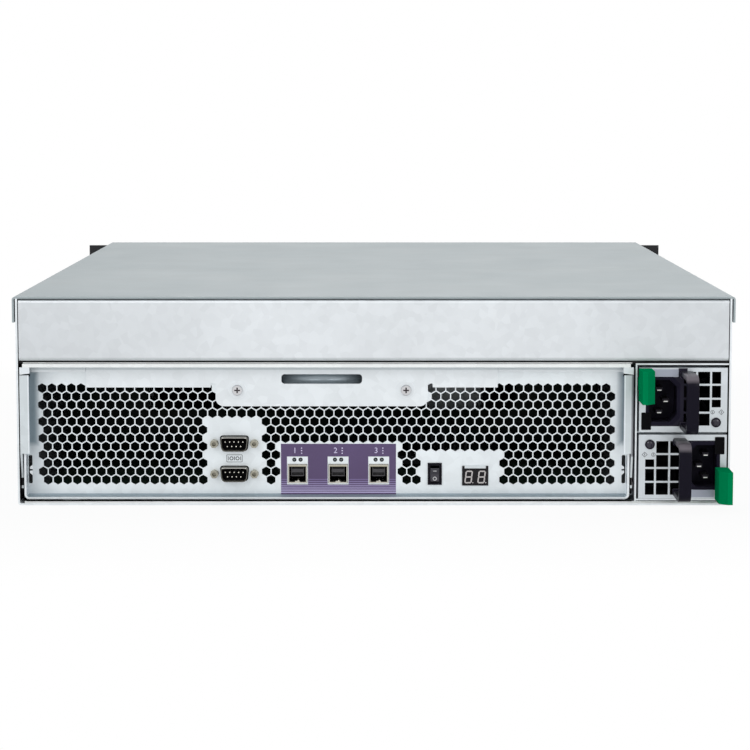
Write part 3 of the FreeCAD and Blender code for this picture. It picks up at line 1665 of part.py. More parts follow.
latch_gap = rectangle(
    (f"-{INNER_HALF}", "latch_slot_right"),
    (f"{LATCH_LOW} - fit_clearance", f"{LATCH_HIGH} + fit_clearance"),
)
face_holes.append(latch_gap)
pocket(
    module_shell,
    outlines(module_shell, "XZ_Plane", face_holes, "face_holes"),
    "0",
    "module_sheet",
)
pocket(
    module_shell,
    circles(module_shell, "XZ_Plane", [("lamp_x", "lamp_z")], "lamp_radius", "lamp_hole"),
    "0",
    "module_sheet",
)
nose_gap = rectangle(
    ("latch_nose_near - latch_nose_gap", "latch_nose_far + latch_nose_gap"),
    ("latch_nose_low - latch_nose_gap", "latch_nose_high + latch_nose_gap"),
)
pocket(
    module_shell,
    outline(module_shell, "YZ_Plane", nose_gap, "nose_gap", f"-{MODULE_HALF}"),
    f"-{MODULE_HALF}",
    f"-{INNER_HALF}",
)

latch_pin = rod(
    "latch_pin",
    "z",
    ("latch_pivot_x", "latch_pivot_y", f"-{INNER_RISE}"),
    "latch_pin_radius",
    f"2 * {INNER_RISE}",
)
lamp = rod(
    "lamp", "y", ("lamp_x", "-lamp_reach", "lamp_z"), "lamp_radius", "lamp_length"
)
supply_board = block(
    "supply_board",
    ("-supply_board_width / 2", "supply_board_width / 2"),
    ("supply_board_start", "module_depth"),
    (f"-{INNER_RISE}", f"-{INNER_RISE} + board_thickness"),
)
SUPPLY_FLOOR = f"(board_thickness - {INNER_RISE})"
supply_start = "(supply_board_start + midplane_gap)"
transformer = block(
    "transformer",
    ("-transformer_width / 2", "transformer_width / 2"),
    (supply_start, f"{supply_start} + transformer_length"),
    (SUPPLY_FLOOR, f"{SUPPLY_FLOOR} + transformer_height"),
)
heat_bar = block(
    "heat_bar",
    ("heat_bar_x", "heat_bar_x + heat_bar_thickness"),
    (supply_start, "module_depth - midplane_gap"),
    (SUPPLY_FLOOR, f"{SUPPLY_FLOOR} + transformer_height"),
)
MODULE_FAN = (
    "module_fan_bore",
    "module_fan_depth",
    "module_fan_hub",
    "module_fan_strut",
    "module_fan_spindle_radius",
)
module_frame = fan_frame("module_frame", "module_fan_size", *MODULE_FAN)
module_rotor = fan_rotor("module_rotor", *MODULE_FAN, "module_fan_blade_gap")
module_fan_frame = placed(
    "module_fan_frame", module_frame, "module_fan_x", "module_fan_y", "-module_fan_drop"
)
module_fan_rotor = placed(
    "module_fan_rotor", module_rotor, "module_fan_x", "module_fan_y", "-module_fan_drop"
)
module_case = group(
    "module_case",
    module_shell,
    latch_pin,
    lamp,
    supply_board,
    transformer,
    heat_bar,
    module_fan_frame,
)


# Mains inlet turned on its side, with its earth blade towards the handle

inlet_block = pulled("inlet_block", "XZ_Plane", inlet_outline, "0", "inlet_depth")
inlet_well = [
    ("inlet_left + inlet_wall", "inlet_bottom + inlet_wall"),
    ("inlet_right - inlet_wall - inlet_chamfer", "inlet_bottom + inlet_wall"),
    ("inlet_right - inlet_wall", "inlet_bottom + inlet_wall + inlet_chamfer"),
    ("inlet_right - inlet_wall", "inlet_top - inlet_wall - inlet_chamfer"),
    ("inlet_right - inlet_wall - inlet_chamfer", "inlet_top - inlet_wall"),
    ("inlet_left + inlet_wall", "inlet_top - inlet_wall"),
]
well_sketch = outline(inlet_block, "XZ_Plane", inlet_well, "inlet_well_outline")
pocket(inlet_block, well_sketch, "0", "inlet_well")

INLET_X = "((inlet_left + inlet_right) / 2)"
INLET_Z = "((inlet_bottom + inlet_top) / 2)"


def blade(name, x, z):
    return block(
        name,
        (f"{x} - inlet_pin_width / 2", f"{x} + inlet_pin_width / 2"),
        ("inlet_pin_back", "inlet_well"),
        (f"{z} - inlet_pin_height / 2", f"{z} + inlet_pin_height / 2"),
    )


module_inlet = group(
    "module_inlet",
    inlet_block,
    blade("live_blade", f"{INLET_X} - inlet_pin_offset / 2", f"{INLET_Z} + inlet_pin_pitch / 2"),
    blade("neutral_blade", f"{INLET_X} - inlet_pin_offset / 2", f"{INLET_Z} - inlet_pin_pitch / 2"),
    blade("earth_blade", f"{INLET_X} + inlet_pin_offset / 2", INLET_Z),
)

module_handle = loop_handle(
    "module_handle",
    "0",
    "-handle_reach",
    "handle_bar",
    "0",
    "handle_height",
    "handle_corner",
    ("handle_x - handle_width / 2", "handle_x + handle_width / 2"),
)


# Release latch: a finger tab on an arm that turns about a pin inside the case

tab_outline = [
    ("latch_tab_left", "-latch_tab_reach"),
    ("latch_tab_right - latch_tab_corner", "-latch_tab_reach"),
    ("latch_tab_right", "latch_tab_corner - latch_tab_reach"),
    ("latch_tab_right", "-latch_tab_stand"),
    ("latch_tab_left", "-latch_tab_stand"),
]
latch_tab = pulled("latch_tab", "XY_Plane", tab_outline, "0", "latch_tab_height")
ARM_RIGHT = "(latch_arm_x + latch_arm_sheet)"
latch_arm = block(
    "latch_arm",
    ("latch_arm_x", ARM_RIGHT),
    ("-latch_tab_stand", "latch_pivot_y"),
    (LATCH_LOW, LATCH_HIGH),
)
latch_nose = block(
    "latch_nose",
    (f"-{MODULE_HALF} - latch_nose_reach", ARM_RIGHT),
    ("latch_nose_near", "latch_nose_far"),
    ("latch_nose_low", "latch_nose_high"),
)
latch_eye = rod(
    "latch_eye",
    "z",
    ("latch_pivot_x", "latch_pivot_y", LATCH_LOW),
    "latch_eye_radius",
    f"{LATCH_HIGH} - {LATCH_LOW}",
)
eye_bore = rod(
    "eye_bore",
    "z",
    ("latch_pivot_x", "latch_pivot_y", "0"),
    "latch_pin_radius + running_clearance",
    "latch_tab_height",
)
latch_blank = fuse("latch_blank", latch_tab, latch_arm, latch_nose, latch_eye)
module_latch = cut("module_latch", latch_blank, eye_bore)

module_pieces = {
    "case": module_case,
    "inlet": module_inlet,
    "handle": module_handle,
    "latch": module_latch,
    "fan_rotor": module_fan_rotor,
}
upper_module = [
    placed(f"psu_upper_{part}", piece, MODULE_X, REAR, MODULE_HIGH_Z)
    for part, piece in module_pieces.items()
]
lower_module = [
    placed(f"psu_lower_{part}", piece, MODULE_X, REAR, MODULE_LOW_Z, turn=180)
    for part, piece in module_pieces.items()
]


# Drive tray, drawn in the middle of its cell with its face plane at y = 0

TRAY_HALF = f"({CELL_HALF} - tray_side_gap)"
TRAY_LOW = "fit_clearance"
SLED_FLOOR = "(fit_clearance + tray_rail_sheet)"
sled_outline = [
    (f"-{TRAY_HALF}", TRAY_LOW),
    (TRAY_HALF, TRAY_LOW),
    (TRAY_HALF, "tray_rail_height"),
    (f"{TRAY_HALF} - tray_rail_sheet", "tray_rail_height"),
    (f"{TRAY_HALF} - tray_rail_sheet", SLED_FLOOR),
    (f"tray_rail_sheet - {TRAY_HALF}", SLED_FLOOR),
    (f"tray_rail_sheet - {TRAY_HALF}", "tray_rail_height"),
    (f"-{TRAY_HALF}", "tray_rail_height"),
]
tray_frame = pulled("tray_frame", "XZ_Plane", sled_outline, "-tray_length", "0")
BEZEL_TOP = "(bay_pitch_z - bay_sheet - fit_clearance)"
bezel_shape = rectangle((f"-{TRAY_HALF}", TRAY_HALF), (TRAY_LOW, BEZEL_TOP))
bezel = outline(tray_frame, "XZ_Plane", bezel_shape, "tray_bezel", 0)
pad(tray_frame, bezel, "0", "tray_bezel_depth")
tray_vents = []
for number in range(int(measure("tray_slots"))):
    start = f"({TRAY_HALF} - 2 * tray_slot_width - {number} * tray_slot_pitch)"
    across = (start, f"{start} + tray_slot_width")
    up = (f"{SLED_FLOOR} + tray_bezel_wall", f"{BEZEL_TOP} - 2 * tray_bezel_wall")
    tray_vents.append(rectangle(across, up))
pocket(tray_frame, outlines(tray_frame, "XZ_Plane", tray_vents, "tray_vents"))

LEVER_LEFT = f"(tray_slot_width - {TRAY_HALF})"
tray_lever = block(
    "tray_lever",
    (LEVER_LEFT, f"{LEVER_LEFT} + tray_lever_length"),
    ("tray_bezel_depth", "tray_bezel_depth + tray_lever_thickness"),
    (
        f"({TRAY_LOW} + {BEZEL_TOP} - tray_lever_height) / 2",
        f"({TRAY_LOW} + {BEZEL_TOP} + tray_lever_height) / 2",
    ),
)
drive = block(
    "drive",
    ("-drive_width / 2", "drive_width / 2"),
    ("-drive_setback - drive_length", "-drive_setback"),
    (SLED_FLOOR, f"{SLED_FLOOR} + drive_height"),
)
tray_master = group("tray_master", tray_frame, tray_lever, drive)
drive_trays = [
    placed(f"drive_tray_{n:02d}", tray_master, cell_x(column), FRONT, cell_z(row))
    for n, (row, column) in enumerate(itertools.product(ROWS, COLUMNS), 1)
]


# The pieces of the product, each under its own name

pieces = [
    chassis_base,
    rear_top_panel,
    top_cover_front,
    top_cover_rear,
    cover_screws,
    bay_roof,
    power_cage,
    drive_cage,
    backplane,
    fan_wall,
    system_fan_frames,
    *system_fan_rotors,
    rack_ear_left,
    rack_ear_right,
    midplane,
    canister_tray,
    canister_panel,
    canister_bracket,
    controller_board,
    expander_heatsink,
    serial_ports,
    serial_standoffs,
    sas_ports,
    port_label,
    id_display,
    power_switch_housing,
    power_switch_rocker,
    ejector_pins,
    ejector_left,
    ejector_right,
    *captive_screws,
    *upper_module,
    *lower_module,
    *drive_trays,
]
doc.recompute()

for item in doc.Objects:
    if "Invalid" in item.State or "Error" in item.State:
        raise RuntimeError(f"{item.Name} did not build")
for piece in pieces:
    if piece.Shape.isNull() or not piece.Shape.isValid():
        raise RuntimeError(f"{piece.Name} is not a sound solid")

os.makedirs("parts", exist_ok=True)
for piece in pieces:
    piece.Label = piece.Name
    piece.Shape.exportStep(f"parts/{piece.Label}.step")
print(f"{len(pieces)} pieces")
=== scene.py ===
# %% [markdown]
# # A rack storage server seen from its back
# The construction model gives every sheet, board and lever its true size and place. This lesson dresses it: each
# finish is a node material, and each piece that needs finer shape than the solid has is built in mesh code and
# laid exactly over it. Lengths are written in millimetres and turned into Blender's metres at one spot.

import math

import bmesh
import bpy
from mathutils import Matrix, Vector


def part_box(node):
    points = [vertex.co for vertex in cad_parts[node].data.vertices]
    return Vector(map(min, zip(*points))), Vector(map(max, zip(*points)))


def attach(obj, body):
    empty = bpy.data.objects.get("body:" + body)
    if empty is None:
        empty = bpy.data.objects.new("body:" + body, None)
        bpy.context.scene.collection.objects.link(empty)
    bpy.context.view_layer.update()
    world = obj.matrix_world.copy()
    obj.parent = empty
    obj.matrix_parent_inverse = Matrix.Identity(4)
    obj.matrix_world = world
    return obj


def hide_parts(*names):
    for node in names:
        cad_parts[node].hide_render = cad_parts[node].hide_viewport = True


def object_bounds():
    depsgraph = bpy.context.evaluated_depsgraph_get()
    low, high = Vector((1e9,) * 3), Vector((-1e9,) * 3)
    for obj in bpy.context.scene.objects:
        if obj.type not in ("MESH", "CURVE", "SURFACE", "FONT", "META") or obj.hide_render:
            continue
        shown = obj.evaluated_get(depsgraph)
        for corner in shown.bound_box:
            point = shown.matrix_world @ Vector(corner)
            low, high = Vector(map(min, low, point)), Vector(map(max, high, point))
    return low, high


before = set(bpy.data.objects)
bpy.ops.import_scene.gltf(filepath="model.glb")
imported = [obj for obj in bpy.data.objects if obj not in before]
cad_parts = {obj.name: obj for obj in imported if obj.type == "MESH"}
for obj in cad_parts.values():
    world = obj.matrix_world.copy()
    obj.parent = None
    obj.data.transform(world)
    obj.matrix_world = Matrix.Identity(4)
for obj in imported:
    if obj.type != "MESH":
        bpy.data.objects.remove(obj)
cad_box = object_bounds()
MM = 0.001


def node_box(node):
    """The two corners of a solid in millimetres"""
    low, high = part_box(node)
    return Vector(low) / MM, Vector(high) / MM


# %% [markdown]
# ## The camera
# The picture was taken from about 1.5 metres behind the server with a long lens, looking down a little. A long lens
# could also be held level with a shifted film plane, but a pitched camera frames the server just as well and leaves
# the other views centred.

# %% Camera
PICTURE_SIDE = 750
FOCAL_PIXELS = 2523.6
SENSOR = 36.0
CAMERA_PLACE = Vector((0.8, -1845.6, 252.1)) * MM
CAMERA_PITCH = 6.275

camera_data = bpy.data.cameras.new("rear_camera")
camera_data.sensor_width = SENSOR
camera_data.lens = FOCAL_PIXELS * SENSOR / PICTURE_SIDE
camera_data.clip_start = 0.05
camera_data.clip_end = 50
camera = bpy.data.objects.new("rear_camera", camera_data)
bpy.context.collection.objects.link(camera)
camera.location = CAMERA_PLACE
camera.rotation_euler = (math.radians(90 - CAMERA_PITCH), 0, 0)
bpy.context.scene.camera = camera
bpy.context.scene.view_settings.view_transform = "Standard"
print("lens, mm:", round(camera_data.lens, 1))

# %% [markdown]
# ## Light and floor
# Sheet metal shows whatever surrounds it, so it needs a large even room more than strong lamps. Three soft boxes
# stand round the server, and a fourth lights its front. The floor is pale, and only what the camera, a mirror or a
# lens sees of it is lifted towards white, fully so a little way off. The metal isn't lit twice that way, and the
# shadow beside the server stays.

# %% Node helpers
def add(tree, kind, **settings):
    """A new node with its sockets or properties set by name"""
    node = tree.nodes.new(kind)
    for name, value in settings.items():
        if hasattr(node, name):
            setattr(node, name, value)
        else:
            node.inputs[name.replace("_", " ")].default_value = value
    return node


def join(tree, start, end):
    tree.links.new(start, end)


def arithmetic(tree, operation, first, second=None, clamp=False):
    """A math node fed by sockets or plain numbers, giving its output socket"""
    node = add(tree, "ShaderNodeMath", operation=operation, use_clamp=clamp)
    for socket, value in zip(node.inputs, (first, second)):
        if isinstance(value, bpy.types.NodeSocket):
            join(tree, value, socket)
        elif value is not None:
            socket.default_value = value
    return node.outputs[0]


def stretch(tree, value, low, high, start=0.0, end=1.0):
    """A value taken from one range to another and held at its ends"""
    node = add(tree, "ShaderNodeMapRange")
    join(tree, value, node.inputs["Value"])
    for name, number in (("From Min", low), ("From Max", high), ("To Min", start), ("To Max", end)):
        if isinstance(number, bpy.types.NodeSocket):
            join(tree, number, node.inputs[name])
        else:
            node.inputs[name].default_value = number
    return node.outputs["Result"]


def seen_directly(tree):
    """1 where the camera, a reflection or a lens looks, 0 for the light that falls on things"""
    rays = add(tree, "ShaderNodeLightPath")
    mirrored = arithmetic(tree, "MAXIMUM", rays.outputs["Is Camera Ray"], rays.outputs["Is Glossy Ray"])
    return arithmetic(tree, "MAXIMUM", mirrored, rays.outputs["Is Transmission Ray"])


# %% World, floor and lamps
ROOM_LIGHT = 0.5
world = bpy.data.worlds.new("studio")
bpy.context.scene.world = world
world.use_nodes = True
sky = world.node_tree
sky.nodes.clear()
lit = add(sky, "ShaderNodeBackground", Color=(0.93, 0.96, 1.0, 1), Strength=ROOM_LIGHT)
shown = add(sky, "ShaderNodeBackground", Color=(1, 1, 1, 1), Strength=1.0)
choice = add(sky, "ShaderNodeMixShader")
join(sky, seen_directly(sky), choice.inputs[0])
join(sky, lit.outputs[0], choice.inputs[1])
join(sky, shown.outputs[0], choice.inputs[2])
join(sky, choice.outputs[0], add(sky, "ShaderNodeOutputWorld").inputs[0])

FLOOR_HALF = 9.0
FLOOR_DROP = 0.0006
FLOOR_LIFT_NEAR = 0.93
FADE_REACH = 0.22
floor_mesh = bpy.data.meshes.new("floor")
floor_mesh.from_pydata(
    [(x * FLOOR_HALF, y * FLOOR_HALF, -FLOOR_DROP) for x, y in ((-1, -1), (1, -1), (1, 1), (-1, 1))],
    [],
    [(0, 1, 2, 3)],
)
floor = bpy.data.objects.new("floor", floor_mesh)
bpy.context.collection.objects.link(floor)

floor_paint = bpy.data.materials.new("floor_paint")
floor_paint.use_nodes = True
tree = floor_paint.node_tree
tree.nodes.clear()
matt = add(tree, "ShaderNodeBsdfDiffuse", Color=(0.86, 0.86, 0.86, 1))
white = add(tree, "ShaderNodeEmission", Color=(1, 1, 1, 1), Strength=1.0)
blend = add(tree, "ShaderNodeMixShader")
spot = add(tree, "ShaderNodeSeparateXYZ")
join(tree, add(tree, "ShaderNodeTexCoord").outputs["Object"], spot.inputs[0])
beyond = [
    arithmetic(tree, "SUBTRACT", arithmetic(tree, "ABSOLUTE", spot.outputs[axis]), cad_box[1][axis])
    for axis in (0, 1)
]
away = arithmetic(tree, "MAXIMUM", *beyond)
lift = stretch(tree, away, 0.0, FADE_REACH, FLOOR_LIFT_NEAR, 1.0)
join(tree, arithmetic(tree, "MULTIPLY", seen_directly(tree), lift), blend.inputs[0])
join(tree, matt.outputs[0], blend.inputs[1])
join(tree, white.outputs[0], blend.inputs[2])
join(tree, blend.outputs[0], add(tree, "ShaderNodeOutputMaterial").inputs[0])
floor_mesh.materials.append(floor_paint)


def soft_box(name, place, target, width, height, power):
    """A rectangular lamp aimed at a point"""
    data = bpy.data.lights.new(name, "AREA")
    data.shape = "RECTANGLE"
    data.size, data.size_y, data.energy = width, height, power
    lamp = bpy.data.objects.new(name, data)
    bpy.context.collection.objects.link(lamp)
    lamp.location = place
    lamp.rotation_mode = "QUATERNION"
    lamp.rotation_quaternion = (Vector(target) - Vector(place)).to_track_quat("-Z", "Y")
    return lamp


soft_box("soft_box_over", (0.0, 0.1, 2.1), (0, 0, 0.05), 2.4, 1.8, 4.5)
soft_box("soft_box_left", (-0.9, -1.9, 1.15), (-0.02, -0.25, 0.05), 1.2, 1.0, 12)
soft_box("soft_box_right", (1.2, -1.8, 0.9), (0.04, -0.25, 0.05), 1.0, 0.9, 8)
soft_box("soft_box_behind", (0.3, 2.3, 1.3), (0, 0.25, 0.05), 1.8, 1.0, 8)

# %% [markdown]
# ## Effects that several finishes share
# Edges lightened by abrasion and by a painted edge highlight, grain, the cloudy look of zinc and settled dust turn up
# on many pieces. Each is one shader node group with named sockets, so that every material can use it with its own
# values. A group gives only masks, colours, heights and normals. The shader itself stays in the material.

# %% Group builder
def group_tree(name, inputs, outputs):
    """An empty node group with float, vector or colour sockets"""
    tree = bpy.data.node_groups.new(name, "ShaderNodeTree")
    kinds = {"float": "NodeSocketFloat", "vector": "NodeSocketVector", "colour": "NodeSocketColor"}
    for socket, (kind, value) in inputs.items():
        made = tree.interface.new_socket(socket, in_out="INPUT", socket_type=kinds[kind])
        made.default_value = value
    for socket, kind in outputs.items():
        tree.interface.new_socket(socket, in_out="OUTPUT", socket_type=kinds[kind])
    return tree, add(tree, "NodeGroupInput"), add(tree, "NodeGroupOutput")


def spots(tree, scale, detail=2.0, roughness=0.5):
    """Noise that is fixed to the piece, from 0 to 1"""
    place = add(tree, "ShaderNodeTexCoord")
    noise = add(tree, "ShaderNodeTexNoise", Detail=detail, Roughness=roughness)
    join(tree, place.outputs["Object"], noise.inputs["Vector"])
    if isinstance(scale, bpy.types.NodeSocket):
        join(tree, scale, noise.inputs["Scale"])
    else:
        noise.inputs["Scale"].default_value = scale
    return noise.outputs["Fac"]


# %% Edge abrasion and painted edge highlight
def build_edge_wear_and_highlight():
    """Finds outer edges by how far a rounded normal turns from the flat one; the mask marks abrasion and a painted edge
    highlight
    """
    tree, given, out = group_tree(
        "edge_wear_and_highlight", {"Width": ("float", 0.001), "Patches": ("float", 60.0)}, {"Mask": "float"}
    )
    rounded = add(tree, "ShaderNodeBevel", samples=4)
    join(tree, given.outputs["Width"], rounded.inputs["Radius"])
    flat = add(tree, "ShaderNodeNewGeometry")
    turn = add(tree, "ShaderNodeVectorMath", operation="DOT_PRODUCT")
    join(tree, rounded.outputs["Normal"], turn.inputs[0])
    join(tree, flat.outputs["Normal"], turn.inputs[1])
    edge = stretch(tree, turn.outputs["Value"], 1.0, 0.86)
    patches = stretch(tree, spots(tree, given.outputs["Patches"], 4.0, 0.6), 0.38, 0.62)
    join(tree, arithmetic(tree, "MULTIPLY", edge, patches), out.inputs["Mask"])
    return tree


def build_grain():
    """Fine moulded or sprayed grain, with a slower drift of gloss"""
    tree, given, out = group_tree(
        "surface_grain",
        {"Grain Scale": ("float", 1800.0), "Drift Scale": ("float", 18.0)},
        {"Height": "float", "Drift": "float"},
    )
    join(tree, spots(tree, given.outputs["Grain Scale"], 2.0), out.inputs["Height"])
    drift = stretch(tree, spots(tree, given.outputs["Drift Scale"], 3.0), 0.3, 0.7)
    join(tree, drift, out.inputs["Drift"])
    return tree


def build_zinc_cloud():
    """Zinc plate: soft clouds, small crystal spangles and a fine speckle"""
    tree, given, out = group_tree(
        "zinc_cloud",
        {"Cloud Scale": ("float", 14.0), "Spangle Scale": ("float", 220.0)},
        {"Cloud": "float", "Spangle": "float", "Speckle": "float"},
    )
    cloud = stretch(tree, spots(tree, given.outputs["Cloud Scale"], 4.0, 0.55), 0.32, 0.68)
    place = add(tree, "ShaderNodeTexCoord")
    crystals = add(tree, "ShaderNodeTexVoronoi")
    join(tree, place.outputs["Object"], crystals.inputs["Vector"])
    join(tree, given.outputs["Spangle Scale"], crystals.inputs["Scale"])
    tone = add(tree, "ShaderNodeSeparateColor")
    join(tree, crystals.outputs["Color"], tone.inputs[0])
    join(tree, cloud, out.inputs["Cloud"])
    join(tree, tone.outputs[0], out.inputs["Spangle"])
    join(tree, stretch(tree, spots(tree, 1500.0, 1.0), 0.3, 0.7), out.inputs["Speckle"])
    return tree


def build_dust():
    """Dust that settles on faces that look up"""
    tree, given, out = group_tree(
        "settled_dust", {"Amount": ("float", 0.2), "Scale": ("float", 30.0)}, {"Mask": "float"}
    )
    facing = add(tree, "ShaderNodeSeparateXYZ")
    join(tree, add(tree, "ShaderNodeNewGeometry").outputs["Normal"], facing.inputs[0])
    upward = stretch(tree, facing.outputs["Z"], 0.4, 1.0)
    film = stretch(tree, spots(tree, given.outputs["Scale"], 5.0, 0.6), 0.35, 0.75)
    amount = arithmetic(tree, "MULTIPLY", upward, given.outputs["Amount"])
    join(tree, arithmetic(tree, "MULTIPLY", film, amount), out.inputs["Mask"])
    return tree


def build_room_box():
    """1 inside a box given by two corners in metres, falling to 0 at its faces over a soft margin"""
    tree, given, out = group_tree(
        "inside_box",
        {"Low": ("vector", (0, 0, 0)), "High": ("vector", (0, 0, 0)), "Soft": ("float", 0.00002)},
        {"Mask": "float"},
    )
    place = add(tree, "ShaderNodeTexCoord").outputs["Object"]
    least = None
    for first, second in ((place, given.outputs["Low"]), (given.outputs["High"], place)):
        gap = add(tree, "ShaderNodeVectorMath", operation="SUBTRACT")
        join(tree, first, gap.inputs[0])
        join(tree, second, gap.inputs[1])
        axes = add(tree, "ShaderNodeSeparateXYZ")
        join(tree, gap.outputs["Vector"], axes.inputs[0])
        for axis in axes.outputs:
            least = axis if least is None else arithmetic(tree, "MINIMUM", least, axis)
    join(tree, arithmetic(tree, "DIVIDE", least, given.outputs["Soft"], clamp=True), out.inputs["Mask"])
    return tree


EDGE_WEAR_AND_HIGHLIGHT = build_edge_wear_and_highlight()
GRAIN = build_grain()
ZINC_CLOUD = build_zinc_cloud()
DUST = build_dust()
ROOM_BOX = build_room_box()
print("shared effects:", [tree.name for tree in bpy.data.node_groups])

# %% [markdown]
# ## Finishes
# One recipe covers most of the server: a base colour that drifts a little, grain in the bump, roughness that
# wanders, edges lightened for abrasion and as a painted highlight, and dust on what looks up. Zinc sheet has a
# recipe of its own, because its look comes from crystals in the plating and not from grain.

# %% Recipe pieces
def place_group(tree, made, **values):
    node = add(tree, "ShaderNodeGroup")
    node.node_tree = made
    for name, value in values.items():
        node.inputs[name.replace("_", " ")].default_value = value
    return node


def mix_colour(tree, amount, first, second):
    """Two colours mixed by a socket or a number"""
    node = add(tree, "ShaderNodeMix", data_type="RGBA")
    sockets = (node.inputs[0], node.inputs[6], node.inputs[7])
    for socket, value in zip(sockets, (amount, first, second)):
        if isinstance(value, bpy.types.NodeSocket):
            join(tree, value, socket)
        elif isinstance(value, (tuple, list)):
            socket.default_value = (*value[:3], 1)
        else:
            socket.default_value = value
    return node.outputs[2]


def linear(red, green, blue):
    """A colour given as it looks, from 0 to 255, as the light values that shaders use"""
    parts = [value / 255 for value in (red, green, blue)]
    return tuple(part / 12.92 if part <= 0.04045 else ((part + 0.055) / 1.055) ** 2.4 for part in parts)


def shade(colour, factor):
    return tuple(min(1.0, part * factor) for part in colour)


def new_finish(name, metallic, ior=1.5):
    finish = bpy.data.materials.new(name)
    finish.use_nodes = True
    tree = finish.node_tree
    shader = tree.nodes["Principled BSDF"]
    shader.inputs["Metallic"].default_value = metallic
    shader.inputs["IOR"].default_value = ior
    return finish, tree, shader


def bump(tree, shader, height, strength, distance):
    node = add(tree, "ShaderNodeBump", Strength=strength, Distance=distance)
    join(tree, height, node.inputs["Height"])
    join(tree, node.outputs["Normal"], shader.inputs["Normal"])


def plain_finish(
    name,
    colour,
    roughness,
    metallic=0.0,
    grain=1800.0,
    depth=0.00002,
    worn_and_highlight=None,
    wear_and_highlight_width=0.0006,
    dust=0.10,
    drift=0.05,
    specular=0.5,
):
    """Paint, plastic or machined metal with grain, drift of gloss, edges lightened by abrasion and a painted highlight,
    and dust
    """
    finish, tree, shader = new_finish(name, metallic)
    shader.inputs["Specular IOR Level"].default_value = specular
    surface = place_group(tree, GRAIN, Grain_Scale=grain)
    wear_and_highlight = place_group(tree, EDGE_WEAR_AND_HIGHLIGHT, Width=wear_and_highlight_width)
    film = place_group(tree, DUST, Amount=dust)
    body = mix_colour(tree, surface.outputs["Drift"], shade(colour, 1 - drift), shade(colour, 1 + drift))
    # Lighter edges: abrasion, and a painted highlight along them
    rubbed_and_highlighted = mix_colour(tree, wear_and_highlight.outputs["Mask"], body, worn_and_highlight or shade(colour, 1.35))
    dusty = mix_colour(tree, film.outputs["Mask"], rubbed_and_highlighted, linear(176, 172, 164))
    join(tree, dusty, shader.inputs["Base Color"])
    gloss = stretch(tree, surface.outputs["Drift"], 0.0, 1.0, roughness - 0.05, roughness + 0.05)
    join(tree, arithmetic(tree, "ADD", gloss, film.outputs["Mask"], clamp=True), shader.inputs["Roughness"])
    bump(tree, shader, surface.outputs["Height"], 0.35, depth)
    return finish


def zinc_finish(name, colour, spangle=220.0, speckle=0.05, cloud=0.05, roughness=0.42):
    """Plated sheet: cool clouds, crystals and a fine speckle under a soft shine"""
    finish, tree, shader = new_finish(name, 0.72)
    plate = place_group(tree, ZINC_CLOUD, Spangle_Scale=spangle)
    wear_and_highlight = place_group(tree, EDGE_WEAR_AND_HIGHLIGHT, Width=0.0005)
    film = place_group(tree, DUST, Amount=0.08)
    body = mix_colour(tree, plate.outputs["Cloud"], shade(colour, 1 - cloud), shade(colour, 1 + cloud))
    cool = tuple(part * tint for part, tint in zip(colour, (0.90, 0.94, 1.0)))
    crystals = arithmetic(tree, "MULTIPLY", plate.outputs["Spangle"], 0.22)
    toned = mix_colour(tree, crystals, body, cool)
    fine = arithmetic(tree, "MULTIPLY", plate.outputs["Speckle"], speckle * 4)
    speckled = mix_colour(tree, fine, toned, shade(colour, 1 - 2.2 * speckle))
    # Lighter edges: abrasion, and a painted highlight along them
    rubbed_and_highlighted = mix_colour(tree, wear_and_highlight.outputs["Mask"], speckled, shade(colour, 1.12))
    join(tree, mix_colour(tree, film.outputs["Mask"], rubbed_and_highlighted, linear(190, 188, 182)), shader.inputs["Base Color"])
    gloss = stretch(tree, plate.outputs["Spangle"], 0.0, 1.0, roughness - 0.06, roughness + 0.06)
    join(tree, arithmetic(tree, "ADD", gloss, film.outputs["Mask"], clamp=True), shader.inputs["Roughness"])
    height = arithmetic(tree, "ADD", plate.outputs["Spangle"], plate.outputs["Speckle"])
    bump(tree, shader, height, 0.12, 0.00002)
    return finish


# %% The finishes by slot
ZINC = linear(226, 231, 234)
COVER_GREY = linear(168, 177, 179)
SATIN = 0.04

